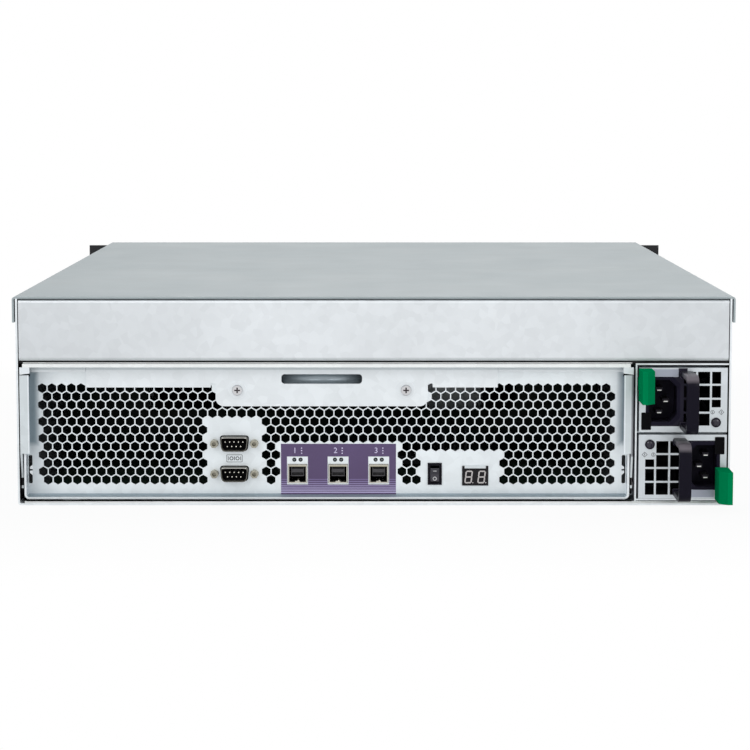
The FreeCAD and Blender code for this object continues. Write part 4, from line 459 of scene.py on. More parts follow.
finishes = {
    "zinc_sheet": zinc_finish("zinc_sheet", ZINC),
    "perforated_steel": zinc_finish("perforated_steel", linear(226, 232, 235), 420.0, 0.10, 0.03),
    "cover_paint": plain_finish(
        "cover_paint", COVER_GREY, 0.46, 0.1, 900.0, 0.00001, shade(COVER_GREY, 1.25), 0.0008, 0.06, 0.03, 0.12
    ),
    "black_powder_coat": plain_finish(
        "black_powder_coat", linear(34, 34, 36), 0.5, 0.0, 1400.0, 0.00004, linear(92, 92, 94), specular=0.25
    ),
    "steel_screw": plain_finish(
        "steel_screw", linear(206, 206, 208), 0.24, 1.0, 2500.0, 0.000005, linear(240, 240, 240), 0.0003
    ),
    "connector_shell": plain_finish(
        "connector_shell", linear(186, 184, 176), 0.27, 1.0, 2200.0, 0.000005, linear(228, 226, 218), 0.0003
    ),
    "circuit_laminate": plain_finish(
        "circuit_laminate", linear(8, 30, 21), 0.4, 0.0, 700.0, 0.00003, linear(24, 70, 48), dust=0.05, specular=0.15
    ),
    "heatsink_aluminium": plain_finish(
        "heatsink_aluminium", linear(30, 31, 34), 0.5, 0.3, 1600.0, 0.00001, dust=0.03, specular=0.1
    ),
    "black_plastic": plain_finish(
        "black_plastic", linear(24, 22, 28), 0.42, 0.0, 2200.0, 0.00003, linear(62, 60, 68), specular=SATIN
    ),
    "inlet_plastic": plain_finish(
        "inlet_plastic", linear(34, 30, 46), 0.36, 0.0, 2600.0, 0.00002, linear(70, 66, 84), specular=SATIN
    ),
    "handle_plastic": plain_finish(
        "handle_plastic", linear(22, 20, 31), 0.34, 0.0, 2400.0, 0.00003, linear(84, 80, 94), 0.0009, 0.04, specular=0.06
    ),
    "green_plastic": plain_finish(
        "green_plastic", linear(0, 132, 80), 0.4, 0.0, 2600.0, 0.00002, linear(0, 154, 98), 0.0006, 0.0, specular=0.0
    ),
    "display_lens": plain_finish(
        "display_lens", linear(20, 18, 22), 0.12, 0.0, 3000.0, 0.000004, specular=0.2
    ),
    "tray_plastic": plain_finish(
        "tray_plastic", linear(40, 40, 44), 0.46, 0.0, 1600.0, 0.00004, linear(86, 86, 92), specular=0.3
    ),
    "label_film": plain_finish("label_film", linear(94, 80, 113), 0.5, 0.0, 2600.0, 0.00001, specular=0.25),
}
blade_metal = plain_finish(
    "blade_metal", linear(226, 224, 214), 0.2, 1.0, 2400.0, 0.000004, linear(250, 248, 240), 0.0003
)
# Near-black: the real colour of inserts, lamp rings and catches; where it fills a gap it is painted shade
dark_room = plain_finish("dark_room", linear(9, 8, 11), 0.8, 0.0, 900.0, 0.00002, dust=0.02, specular=0.08)
print("finishes:", len(finishes))

# %% [markdown]
# ## Tools for making shapes
# Nearly everything on this server is flat stock: a sheet with holes, folded or bent. So the main tool takes an
# outline with holes, fills it and gives it thickness along one axis. A filled 2D curve does that well, even with
# hundreds of holes, and becomes a mesh at once. Turned parts come from a profile spun round an axis.

# %% Placing a piece
def new_piece(name, mesh, finish, body, stands_for=(), soften=0.0, smooth=False, place=(0, 0, 0)):
    """A finished mesh as an object that moves with a body"""
    thing = bpy.data.objects.new(name, mesh)
    bpy.context.collection.objects.link(thing)
    thing.location = place
    if not mesh.materials:
        for made in finish if isinstance(finish, (list, tuple)) else (finish,):
            mesh.materials.append(made)
    if smooth:
        mesh.shade_smooth()
    if soften:
        round_over = thing.modifiers.new("round_over", "BEVEL")
        round_over.width = soften * MM
        round_over.segments = 2
        round_over.limit_method = "ANGLE"
        round_over.angle_limit = math.radians(40)
        round_over.harden_normals = False
    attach(thing, body)
    if stands_for:
        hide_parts(*stands_for)
    return thing


def mesh_of(name, form):
    """A bmesh in millimetres as a mesh in metres, with its normals outward"""
    bmesh.ops.scale(form, vec=(MM, MM, MM), verts=form.verts)
    bmesh.ops.recalc_face_normals(form, faces=form.faces)
    mesh = bpy.data.meshes.new(name)
    form.to_mesh(mesh)
    form.free()
    return mesh


# %% Outlines
def rectangle(left, bottom, right, top, corner=0.0, steps=3):
    """The corners of a rectangle, counterclockwise, with rounded corners where asked"""
    if not corner:
        return [(left, bottom), (right, bottom), (right, top), (left, top)]
    points = []
    centres = (
        (right - corner, bottom + corner, -90),
        (right - corner, top - corner, 0),
        (left + corner, top - corner, 90),
        (left + corner, bottom + corner, 180),
    )
    for x, y, start in centres:
        for step in range(steps + 1):
            angle = math.radians(start + 90 * step / steps)
            points.append((x + corner * math.cos(angle), y + corner * math.sin(angle)))
    return points


def regular(sides, across_flats, centre, turn=0.0):
    """A regular outline by its width across flats, or a circle where it has many sides"""
    reach = across_flats / 2 / math.cos(math.pi / sides)
    return [
        (centre[0] + reach * math.cos(angle), centre[1] + reach * math.sin(angle))
        for angle in (math.radians(turn) + math.tau * step / sides for step in range(sides))
    ]


def circle(radius, centre, sides=24):
    return regular(sides, 2 * radius * math.cos(math.pi / sides), centre)


def d_outline(centre_x, centre_z, half_width, half_height, taper=1.1, corner=2.4, steps=5):
    """A D-shaped outline with rounded corners, counterclockwise from its lower left"""
    corners = [
        (-half_width + taper, -half_height),
        (half_width - taper, -half_height),
        (half_width, half_height),
        (-half_width, half_height),
    ]
    points = []
    for index, at in enumerate(corners):
        before, after = Vector(corners[index - 1]), Vector(corners[(index + 1) % 4])
        at = Vector(at)
        into, out = (at - before).normalized(), (after - at).normalized()
        for step in range(steps + 1):
            part = step / steps
            near = at - into * corner * (1 - part) ** 2 + out * corner * part**2
            points.append((centre_x + near.x, centre_z + near.y))
    return points


# %% Sheets and bars
AXIS_TURN = {
    "X": Matrix(((0, 0, 1), (1, 0, 0), (0, 1, 0))).to_4x4(),
    "Y": Matrix(((1, 0, 0), (0, 0, -1), (0, 1, 0))).to_4x4(),
    "Z": Matrix.Identity(4),
}


def sheet_form(outlines, axis, start, end):
    """Outlines, the first counterclockwise and holes in any turn, filled and given thickness along an axis"""
    curve = bpy.data.curves.new("outline", "CURVE")
    curve.dimensions = "2D"
    curve.fill_mode = "BOTH"
    curve.extrude = abs(end - start) / 2
    for points in outlines:
        line = curve.splines.new("POLY")
        line.points.add(len(points) - 1)
        line.use_cyclic_u = True
        for point, (across, up) in zip(line.points, points):
            point.co = (across, up, 0, 1)
    holder = bpy.data.objects.new("outline", curve)
    mesh = bpy.data.meshes.new_from_object(holder)
    form = bmesh.new()
    form.from_mesh(mesh)
    bpy.data.objects.remove(holder)
    bpy.data.curves.remove(curve)
    bpy.data.meshes.remove(mesh)
    bmesh.ops.remove_doubles(form, verts=form.verts, dist=0.0005)
    middle = (start + end) / 2 * (-1 if axis == "Y" else 1)
    bmesh.ops.translate(form, vec=(0, 0, middle), verts=form.verts)
    bmesh.ops.transform(form, matrix=AXIS_TURN[axis], verts=form.verts)
    return form


def merged(forms):
    """Several forms as one"""
    whole = bmesh.new()
    for form in forms:
        part = bpy.data.meshes.new("part")
        form.to_mesh(part)
        form.free()
        whole.from_mesh(part)
        bpy.data.meshes.remove(part)
    return whole


def bar(low, high, corner=0.0, axis="Y"):
    """A block between two corners, its four edges along an axis rounded"""
    pick = {"X": (1, 2, 0), "Y": (0, 2, 1), "Z": (0, 1, 2)}[axis]
    outline = rectangle(low[pick[0]], low[pick[1]], high[pick[0]], high[pick[1]], corner)
    return sheet_form([outline], axis, low[pick[2]], high[pick[2]])


def turned(profile, centre, axis="Y", sides=32):
    """A profile of radius and place along the axis, spun round it; the ends are closed where the radius is 0"""
    form = bmesh.new()
    rings = []
    for radius, along in profile:
        if radius <= 0:
            rings.append([form.verts.new((0, 0, along))])
            continue
        rings.append(
            [
                form.verts.new((radius * math.cos(angle), radius * math.sin(angle), along))
                for angle in (math.tau * step / sides for step in range(sides))
            ]
        )
    for near, far in zip(rings, rings[1:]):
        for step in range(sides):
            after = (step + 1) % sides
            if len(near) == 1:
                form.faces.new((near[0], far[step], far[after]))
            elif len(far) == 1:
                form.faces.new((near[step], near[after], far[0]))
            else:
                form.faces.new((near[step], near[after], far[after], far[step]))
    turn = {
        "X": Matrix(((0, 0, 1), (1, 0, 0), (0, 1, 0))).to_4x4(),
        "Y": Matrix(((1, 0, 0), (0, 0, 1), (0, 1, 0))).to_4x4(),
        "Z": Matrix.Identity(4),
    }[axis]
    bmesh.ops.transform(form, matrix=Matrix.Translation(centre) @ turn, verts=form.verts)
    return form


print("shape tools ready")

# %% [markdown]
# ## Dressing the solids
# The solids carry slot names from the record, one for each stuff. Each slot gets its finish here, so every sheet
# and board is dressed before any finer piece is built. A few solids hold two stuffs, such as a drive carrier with
# a plastic front and a metal sled. They get a finish that changes at a given box.

# %% Slots to finishes
for node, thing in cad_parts.items():
    for place in thing.material_slots:
        place.material = finishes[place.material.name.split(".")[0]]
print("dressed nodes:", len(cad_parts))


# %% A finish that changes inside boxes
def patched(name, base, patches, specular=0.3):
    """A stuff is (colour, roughness, metallic). A patch is (stuff, low, high), in millimetres, with a soft margin
    as a fourth value where asked; a later patch lies over an earlier one"""
    finish, tree, shader = new_finish(name, 0.0)
    shader.inputs["Specular IOR Level"].default_value = specular
    plate = place_group(tree, ZINC_CLOUD)
    film = place_group(tree, DUST, Amount=0.05)
    wear_and_highlight = place_group(tree, EDGE_WEAR_AND_HIGHLIGHT, Width=0.0005)
    colour, roughness, metallic = base
    for stuff, low, high, *soft in patches:
        room = place_group(tree, ROOM_BOX, Soft=(soft[0] if soft else 0.02) * MM)
        room.inputs["Low"].default_value = Vector(low) * MM
        room.inputs["High"].default_value = Vector(high) * MM
        mask = room.outputs["Mask"]
        colour = mix_colour(tree, mask, colour, stuff[0])
        roughness = stretch(tree, mask, 0.0, 1.0, roughness, stuff[1])
        metallic = stretch(tree, mask, 0.0, 1.0, metallic, stuff[2])
    tone = stretch(tree, plate.outputs["Cloud"], 0.0, 1.0, 0.96, 1.04)
    # The edge mask lightens edges by up to 12 percent: abrasion and a painted highlight
    for output, low, high in ((plate.outputs["Spangle"], 0.97, 1.03), (wear_and_highlight.outputs["Mask"], 1.0, 1.12)):
        tone = arithmetic(tree, "MULTIPLY", tone, stretch(tree, output, 0.0, 1.0, low, high))
    toned = add(tree, "ShaderNodeVectorMath", operation="SCALE")
    join(tree, colour, toned.inputs[0])
    join(tree, tone, toned.inputs["Scale"])
    dusty = mix_colour(tree, film.outputs["Mask"], toned.outputs[0], linear(182, 180, 174))
    join(tree, dusty, shader.inputs["Base Color"])
    uneven = stretch(tree, plate.outputs["Spangle"], 0.0, 1.0, -0.04, 0.04)
    join(tree, arithmetic(tree, "ADD", roughness, uneven, clamp=True), shader.inputs["Roughness"])
    join(tree, metallic, shader.inputs["Metallic"])
    bump(tree, shader, plate.outputs["Speckle"], 0.1, 0.00002)
    return finish


def dress(node, finish):
    """Gives one solid a finish of its own"""
    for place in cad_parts[node].material_slots:
        place.material = finish


# Near-black, used only as painted shade in gaps, hollows and insides
SHADE_BLACK = (linear(10, 9, 12), 0.8, 0.0)
BRIGHT = (ZINC, 0.42, 0.72)
# Near-white with no metal, used only as a painted highlight
HIGHLIGHT_WHITE = (linear(250, 252, 250), 0.5, 0.0)
BLUE_SHADE = (linear(142, 156, 164), 0.5, 0.2)
REAR_END = -294.0


def within(node, inset, front=0.0):
    """A solid's box drawn in by an inset, and at its -Y face by a front inset"""
    low, high = node_box(node)
    return (
        (low.x + inset, low.y + (front or inset), low.z + inset),
        (high.x - inset, high.y - inset, high.z - inset),
    )


GLASS = (linear(26, 20, 36), 0.14, 0.0)
# Inlet blades: near-black, painted shade, each with a thin near-white strip along one edge, a painted glint
BLADE_GLINT = (linear(250, 249, 244), 0.35, 0.2)
BLADE_IN_SHADE = (linear(40, 38, 44), 0.35, 0.4)
FACE = (linear(208, 214, 218), 0.42, 0.72)
INLET_BLACK = (linear(30, 27, 42), 0.36, 0.0)
MODULE_X, MODULE_Z = 191.75, {"upper": (65.9, 1), "lower": (24.2, -1)}
BLADES = ((-14.65, 6.5), (-14.65, -7.5), (-10.65, -0.5))
LAMP_AT = (20.4, -14.0)


def module_box(level, x, z, half_x, half_z, front, back):
    """A box about a point of a supply module, whose lower one is turned half round"""
    centre, turn = MODULE_Z[level]
    across, up = MODULE_X + turn * x, centre + turn * z
    return (across - half_x, front, up - half_z), (across + half_x, back, up + half_z)


for level in MODULE_Z:
    case, inlet = "psu_%s_case" % level, "psu_%s_inlet" % level
    surround = [
        (INLET_BLACK, *module_box(level, -8.7, -1.0, 11.2, 15.4, -294.5, -292.0)),
        (INLET_BLACK, *module_box(level, -0.4, 16.8, 2.8, 3.0, -294.5, -292.0)),
    ]
    lens = (GLASS, *module_box(level, *LAMP_AT, 3.1, 3.1, -296.0, -294.05))
    # Painted shade: the case's inside, the sides of its grid bars included, is near-black
    inside = (SHADE_BLACK, *within(case, 0.5, 1.05))
    dress(case, patched(case + "_sheet", FACE, surround + [inside, lens], 0.2))
    # The inlet blades are painted near-black, painted shade, each with a thin near-white strip, a painted glint
    pins = [(BLADE_IN_SHADE, *module_box(level, x, z, 2.05, 1.05, -300.0, -250.0)) for x, z in BLADES]
    turn = MODULE_Z[level][1]
    pins += [(BLADE_GLINT, *module_box(level, x, z - turn * 0.65, 1.3, 0.34, -300.0, -250.0)) for x, z in BLADES]
    dress(inlet, patched(inlet + "_sheet", INLET_BLACK, pins, 0.06))

# %% [markdown]
# ## Shade in narrow gaps
# Between a pulled-out unit and its bay the sheet is as bright as anywhere, but in a gap of a millimetre hardly any
# light gets back out. A renderer with few bounces makes such gaps too pale. Darker patches painted on the walls of
# the gaps, painted shade, give them their depth back. The canister's tray is painted a darker zinc inside than on
# its outer faces, and a strip of its floor near the rear edge a blue-grey: both painted shade.

# %% Gaps and edges
# Painted shade: a darker zinc inside the tray and a blue-grey strip on its floor near the rear edge
TRAY_INSIDE_SHADE = (linear(150, 155, 158), 0.5, 0.8)
tray_low, tray_high = node_box("canister_tray")
tray_floor = ((tray_low.x + 1, REAR_END + 3.2, 4.4), (tray_high.x - 1, -281.0, 5.6))
dress(
    "canister_tray",
    patched(
        "canister_tray_sheet",
        BRIGHT,
        [
            (BLUE_SHADE, *tray_floor, 0.1),
            (TRAY_INSIDE_SHADE, (tray_low.x + 0.6, -280.7, 3.9), (tray_high.x - 0.6, tray_high.y + 1, 120.0)),
        ],
    ),
)
# Painted shade: near-black in the gaps beside the chassis walls
wall_gaps = [
    (SHADE_BLACK, (side * 219.2 - 1.2, REAR_END + 0.25, 2.4), (side * 219.2 + 1.2, -240.0, 89.0)) for side in (-1, 1)
]
dress("chassis_base", patched("chassis_sheet", BRIGHT, wall_gaps))
# Painted highlight: the lip's front face near-white. Painted shade: a darker band under the lip, also on the bracket's
# bands
lip = (HIGHLIGHT_WHITE, (-230, REAR_END - 1, 85.9), (230, REAR_END + 1.2, 88.9))
shade_under_lip = ((linear(204, 211, 214), 0.45, 0.6), (-230, -300, 83.3), (230, -270, 86.0), 0.4)
bracket_sheet = patched("bracket_sheet", BRIGHT, [shade_under_lip, lip])
dress("canister_bracket", bracket_sheet)
# The rear panel is painted darker at its ends and lighter in its middle, painted light and shade. Its bottom bend is a
# matt light grey with little metal, so it doesn't mirror the dark gap: painted light.
rear_end_shade_grey = (linear(209, 213, 216), 0.44, 0.6)
middle_painted_light = ((linear(222, 226, 229), 0.44, 0.6), (-215, -1000, -1000), (215, 1000, 1000), 150.0)
bend_painted_light = ((linear(206, 211, 212), 0.5, 0.1), (-230, REAR_END - 1, 89.5), (230, REAR_END + 4, 92.6), 0.8)
dress("rear_top_panel", patched("rear_panel_sheet", rear_end_shade_grey, [middle_painted_light, bend_painted_light]))
# The roof's rear edge: near-black painted shade, and a near-white band on its lower part, a painted highlight
roof_edge_shade_and_highlight = [
    (SHADE_BLACK, (-230, REAR_END - 1, 88.0), (230, REAR_END + 12.0, 90.05)),
    (HIGHLIGHT_WHITE, (-217, REAR_END - 1, 88.0), (160, REAR_END + 1.3, 89.1)),
]
dress("bay_roof", patched("bay_roof_sheet", BRIGHT, roof_edge_shade_and_highlight))
# Painted glints: thin near-white strips on the levers' edges. Painted shade: the right lever's far side and both
# levers' feet are darker.
LEVER = (linear(208, 215, 218), 0.42, 0.6)
EDGE_GLINT = (linear(234, 240, 244), 0.4, 0.5)
SHADED_SIDE = (linear(120, 122, 128), 0.5, 0.3)
foot_shade = [(SHADE_BLACK, (-225, -300, low), (170, -270, high)) for low, high in ((4.0, 10.1), (11.9, 16.7))]
left_edge = (EDGE_GLINT, (-214.5, -300, 32), (-213.0, -290, 82), 0.3)
right_edges = [
    (EDGE_GLINT, (155.0, -300, 32), (156.2, -290, 82), 0.3),
    (SHADED_SIDE, (159.4, -300, 30), (164.0, -290, 86), 0.9),
]
dress("ejector_left", patched("left_lever_sheet", LEVER, [left_edge] + foot_shade))
dress("ejector_right", patched("right_lever_sheet", LEVER, right_edges + foot_shade))
print("patched finishes:", len([made for made in bpy.data.materials if made.name.endswith("_sheet")]))

# %% [markdown]
# ## The canister's back sheet
# The real sheet is punched with twelve staggered rows of small hexagons, far more than the solid needs for its
# mass and its air. A texture of holes would look flat from the side, so the holes are cut for real: one outline
# with several hundred six-sided holes, filled and given the sheet's thickness. The ports, the label, the switch and
# the display keep their own ground free of holes.

# %% Holes of the grille
PANEL_LOW, PANEL_HIGH = node_box("canister_panel")
HOLE_ACROSS = 5.4
COLUMN_PITCH = 6.066
ROW_PITCH = 5.245
TOP_ROW_Z = 71.9
FIRST_X = -206.8
HALF_STEP = 3.0
ROWS_DOWN = 12
COLUMNS_ACROSS = 59


def is_plain(row, column):
    """Where the sheet keeps its ports, label, switch and display, counted in rows from the top"""
    odd = row % 2 == 1
    serial = row >= 5 and 17 <= column <= 22
    label = row >= 8 and (25 if odd else 24) <= column <= 36
    switches = row >= 9 and 39 <= column <= (47 if odd else 46)
    bracket = row <= 2 and 18 <= column <= 39
    return serial or label or switches or bracket


def grille_holes():
    holes = []
    for row in range(1, ROWS_DOWN + 1):
        z = TOP_ROW_Z - (row - 1) * ROW_PITCH
        start = FIRST_X if row % 2 else FIRST_X + HALF_STEP
        for column in range(COLUMNS_ACROSS):
            x = start + column * COLUMN_PITCH
            if not is_plain(row, column) and x < PANEL_HIGH.x - 7:
                holes.append(regular(6, HOLE_ACROSS, (x, z), 30))
    return holes


holes = grille_holes()
print("hexagonal holes:", len(holes))

# %% Windows for the ports and the levers' slots
SERIAL_X, SERIAL_ROWS = -87.1, (37.2, 18.1)
LINK_COLUMNS, LINK_Z = (-47.7, -22.3, 3.1), 18.1
SWITCH = (38.2, 18.0)
DISPLAY = (63.5, 16.8)


def window(centre_x, centre_z, half_width, half_height, corner=0.0):
    return rectangle(
        centre_x - half_width, centre_z - half_height, centre_x + half_width, centre_z + half_height, corner
    )


cuts = [d_outline(SERIAL_X, z, 9.35, 5.05, 1.1, 2.6) for z in SERIAL_ROWS]
cuts += [window(x, LINK_Z, 6.1, 6.1) for x in LINK_COLUMNS]
cuts += [window(*SWITCH, 4.15, 6.6), window(*DISPLAY, 7.45, 5.45)]
cuts.append(rectangle(-58.8, 73.9, -6.0, 81.8, 2.0))
cuts += [circle(1.8, (x, 71.0), 20) for x in (-84.95, 20.15)]
SLOT_FOOT, SLOT_HEAD, SLOT_DEPTH = 11.9, 29.8, 2.7
cuts.append(rectangle(PANEL_LOW.x + 0.3, SLOT_FOOT, PANEL_LOW.x + SLOT_DEPTH, SLOT_HEAD, 0.8))
cuts.append(rectangle(PANEL_HIGH.x - SLOT_DEPTH, SLOT_FOOT, PANEL_HIGH.x - 0.3, SLOT_HEAD, 0.8))

edge = rectangle(PANEL_LOW.x, PANEL_LOW.z, PANEL_HIGH.x, PANEL_HIGH.z, 1.6)
grille = sheet_form([edge] + holes + cuts, "Y", PANEL_LOW.y, PANEL_HIGH.y)
SIDE_SHADE = (linear(132, 146, 154), 0.5, 0.3)
LOW_SHADE = (linear(168, 180, 188), 0.5, 0.4)
END_SHADE = (linear(198, 205, 209), 0.46, 0.66)
sheet_shades = [
    (END_SHADE, (-260.0, -300, -40.0), (-195.0, -260, 120.0), 16.0),
    (SIDE_SHADE, (-222.0, -300, 35.0), (-208.4, -260, 84.0), 3.4),
    (SIDE_SHADE, (151.2, -300, 35.0), (165.0, -260, 84.0), 4.5),
    (LOW_SHADE, (-217.0, -300, 3.0), (158.0, -260, 5.7), 0.3),
]
panel_sheet = patched("panel_sheet", (linear(226, 232, 235), 0.44, 0.72), sheet_shades)
new_piece(
    "grille_sheet",
    mesh_of("grille_sheet", grille),
    panel_sheet,
    "canister",
    ("canister_panel",),
)
print("grille sheet from", tuple(round(value, 1) for value in PANEL_LOW))

# %% [markdown]
# ## Small formed edges round the canister
# Between each pair of edge slots two small tabs are bent out of the sheet; they are painted lighter than it, a
# painted highlight. A short wing of the bracket covers each lever's top end, with a dark slanting gap under it, made
# by a dark bar behind the wing as painted shade. The chassis floor ends in a folded hem below the canister, painted
# near-white as a painted highlight with a grey painted shadow along its foot, and a dark strip of painted shade
# fills the gap between the two.

# %% Tabs, wings, hem and a dark strip of painted shade
tabs = []
for side, edge_x in ((1, PANEL_LOW.x + SLOT_DEPTH + 0.1), (-1, PANEL_HIGH.x - SLOT_DEPTH - 0.1)):
    for heights in ((23.6, 22.3, 21.1, 21.1), (17.2, 18.6, 20.0, 20.0)):
        outline = [
            (edge_x, heights[0]),
            (edge_x - side * 1.7, heights[1]),
            (edge_x - side * 1.7, heights[2]),
            (edge_x, heights[3]),
        ]
        tabs.append(sheet_form([outline], "Y", PANEL_LOW.y - 0.5, PANEL_LOW.y + 0.7))
# The tabs are painted lighter and less metallic than the sheet they are bent from: a painted highlight
tab_highlight_white = plain_finish("tab_highlight_white", linear(238, 242, 244), 0.45, 0.3, 1800.0, 0.00001)
new_piece("panel_tabs", mesh_of("panel_tabs", merged(tabs)), tab_highlight_white, "canister")

wings, wing_shades = [], []
for outer, inner in ((tray_low.x - 1.8, tray_low.x + 4.4), (tray_high.x + 1.8, tray_high.x - 4.4)):
    outline = [(outer, 81.6), (inner, 82.4), (inner, 86.15), (outer, 86.15)]
    wings.append(sheet_form([outline], "Y", REAR_END + 0.1, REAR_END + 1.2))
    left, right = sorted((outer, inner))
    wing_shades.append(bar((left, REAR_END + 1.9, 80.4), (right, REAR_END + 2.2, 82.8)))
new_piece("bracket_wings", mesh_of("bracket_wings", merged(wings)), finishes["zinc_sheet"], "canister")
# A dark bar behind each wing: painted shade of the gap under it
new_piece("wing_shades", mesh_of("wing_shades", merged(wing_shades)), dark_room, "canister")

bands = [
    bar((start, -283.2, 82.1), (end, -282.0, 86.3))
    for start, end in ((tray_low.x + 1.4, -179.3), (77.4, tray_high.x - 1.4))
]
new_piece("bracket_bands", mesh_of("bracket_bands", merged(bands)), bracket_sheet, "canister", soften=0.35)

hem = bar((-217.0, REAR_END + 0.02, 0.35), (219.4, REAR_END + 1.6, 2.55), 0.6, "X")
# The hem is painted near-white, a painted highlight, with a grey painted shadow along its foot
hem_highlight_white = patched(
    "hem_highlight_white",
    (linear(246, 248, 246), 0.5, 0.1),
    [((linear(150, 152, 150), 0.5, 0.1), (-230, -300, -1), (230, -280, 0.7), 0.2)],
)
new_piece("floor_hem", mesh_of("floor_hem", hem), hem_highlight_white, "chassis")
# A dark strip in the gap between hem and canister: painted shade
gap_shade_strip = bar((-216.0, REAR_END + 0.1, 2.5), (160.5, REAR_END + 0.5, 3.3))
new_piece("floor_gap_shade", mesh_of("floor_gap_shade", gap_shade_strip), dark_room, "chassis")
print("formed edges:", len(tabs), "tabs,", len(wings), "wings")

# %% [markdown]
# ## Serial ports
# A nine-pin port is a D-shaped metal shell that comes through a slightly larger D-shaped cut, with a black insert
# and nine round pins set a little back from its rim. Two hexagonal standoffs beside it take the plug's screws. Shell
# and cut share one outline, drawn with a wider top than bottom.

# %% Shell, insert and pins
PANEL_FACE = PANEL_LOW.y
SHELL_FRONT = -288.2
PIN_PITCH, PIN_ROWS = 2.77, 2.84


def serial_port(z):
    shell = sheet_form(
        [d_outline(SERIAL_X, z, 8.7, 4.5), d_outline(SERIAL_X, z, 8.2, 4.0, 1.0, 2.1)],
        "Y",
        SHELL_FRONT,
        PANEL_FACE + 2.4,
    )
    insert = sheet_form([d_outline(SERIAL_X, z, 8.2, 4.0, 1.0, 2.1)], "Y", PANEL_FACE - 0.6, PANEL_FACE + 2.4)
    apron = sheet_form([d_outline(SERIAL_X, z, 9.3, 5.1, 1.2)], "Y", PANEL_FACE + 2.0, PANEL_FACE + 3.0)
    pins = []
    for row, count in ((0.5, 5), (-0.5, 4)):
        for number in range(count):
            x = SERIAL_X + (number - (count - 1) / 2) * PIN_PITCH
            tip = SHELL_FRONT + 1.2
            profile = ((0, tip), (0.3, tip), (0.5, tip + 0.4), (0.5, PANEL_FACE))
            pins.append(turned(profile, (x, 0, z + row * PIN_ROWS), "Y", 12))
    return shell, [insert, apron], pins


SHELL_METAL = (linear(104, 102, 96), 0.4, 0.6)
SHELL_GLINT = (linear(240, 238, 230), 0.4, 0.3)
glints = [
    (SHELL_GLINT, (SERIAL_X - 7.6, -300, z + 3.85), (SERIAL_X + 7.6, -270, z + 4.3), 0.1) for z in SERIAL_ROWS
]
shell_metal = patched("serial_shell_metal", SHELL_METAL, glints)
standoff_metal = plain_finish("standoff_metal", linear(158, 155, 142), 0.4, 0.75, 1800.0, 0.00001)
parts = [serial_port(z) for z in SERIAL_ROWS]
shells = merged([shell for shell, _, _ in parts])
inserts = merged([block for _, blocks, _ in parts for block in blocks])
pins = merged([pin for _, _, group in parts for pin in group])
new_piece(
    "serial_shells",
    mesh_of("serial_shells", shells),
    shell_metal,
    "canister",
    ("serial_ports",),
    soften=0.12,
)
new_piece("serial_inserts", mesh_of("serial_inserts", inserts), dark_room, "canister")
new_piece("serial_pins", mesh_of("serial_pins", pins), blade_metal, "canister", smooth=True)

# %% Standoffs
STANDOFF_SPREAD = 12.5
standoffs = []
for z in SERIAL_ROWS:
    for side in (-1, 1):
        x = SERIAL_X + side * STANDOFF_SPREAD
        hexagon = regular(6, 4.6, (x, z), 0)
        standoffs.append(sheet_form([hexagon, circle(1.35, (x, z), 16)], "Y", PANEL_FACE - 4.6, PANEL_FACE))
        standoffs.append(sheet_form([circle(2.6, (x, z), 20), circle(1.35, (x, z), 16)], "Y", PANEL_FACE - 0.5, PANEL_FACE))
        standoffs.append(sheet_form([circle(1.35, (x, z), 16)], "Y", PANEL_FACE - 1.2, PANEL_FACE - 0.6))
new_piece(
    "standoffs",
    mesh_of("standoffs", merged(standoffs)),
    standoff_metal,
    "canister",
    ("serial_standoffs",),
    soften=0.2,
)
print("serial ports:", len(SERIAL_ROWS), "standoffs:", 2 * len(SERIAL_ROWS))

# %% [markdown]
# ## Storage-link ports
# Each port is a folded metal cage with a dark receptacle inside. From outside one sees the cage's bright rim, a
# flap at the top, two contact slots with a grey band between them, and a small latch spring at the bottom. The cage
# solid stays and is only painted near-black inside, painted shade; the rest is laid in it.

# %% Receptacles
LINK_HALF = 5.3
# Painted shade: near-black inside each cage
cage_inside_shade = [
    (SHADE_BLACK, (x - LINK_HALF, PANEL_FACE - 0.5, LINK_Z - LINK_HALF), (x + LINK_HALF, -240, LINK_Z + LINK_HALF))
    for x in LINK_COLUMNS
]
CAGE = (linear(208, 205, 196), 0.27, 1.0)
dress("sas_ports", patched("link_cages", CAGE, cage_inside_shade))

receptacles, springs, flaps = [], [], []
for x in LINK_COLUMNS:
    body = rectangle(x - 4.0, LINK_Z - 1.9, x + 4.0, LINK_Z + 5.2, 0.4)
    slots = [rectangle(x - 3.6, z, x + 3.6, z + 1.9, 0.3) for z in (LINK_Z + 2.7, LINK_Z - 1.3)]
    receptacles.append(sheet_form([body] + slots, "Y", PANEL_FACE + 2.0, PANEL_FACE + 6.0))
    receptacles.append(sheet_form([body], "Y", PANEL_FACE + 6.0, PANEL_FACE + 8.0))
    springs.append(bar((x - 1.6, PANEL_FACE - 0.7, LINK_Z - 5.3), (x + 1.4, PANEL_FACE + 1.4, LINK_Z - 4.6), 0.2))
    ramp = [(-0.7, -5.3), (1.4, -5.3), (2.6, -3.6), (2.3, -3.4)]
    profile = [(PANEL_FACE + along, LINK_Z + rise) for along, rise in ramp]
    springs.append(sheet_form([profile], "X", x - 0.1, x + 0.9))
    flaps.append(bar((x - 5.2, PANEL_FACE + 0.3, LINK_Z + 4.35), (x + 5.2, PANEL_FACE + 0.9, LINK_Z + 5.3)))
receptacle_black = plain_finish("receptacle_black", linear(58, 56, 60), 0.4, 0.0, 2200.0, 0.00002)
flap_metal = plain_finish("flap_metal", linear(168, 164, 146), 0.35, 1.0, 1800.0, 0.00001)
new_piece("link_receptacles", mesh_of("link_receptacles", merged(receptacles)), receptacle_black, "canister")
new_piece("link_springs", mesh_of("link_springs", merged(springs)), finishes["connector_shell"], "canister")
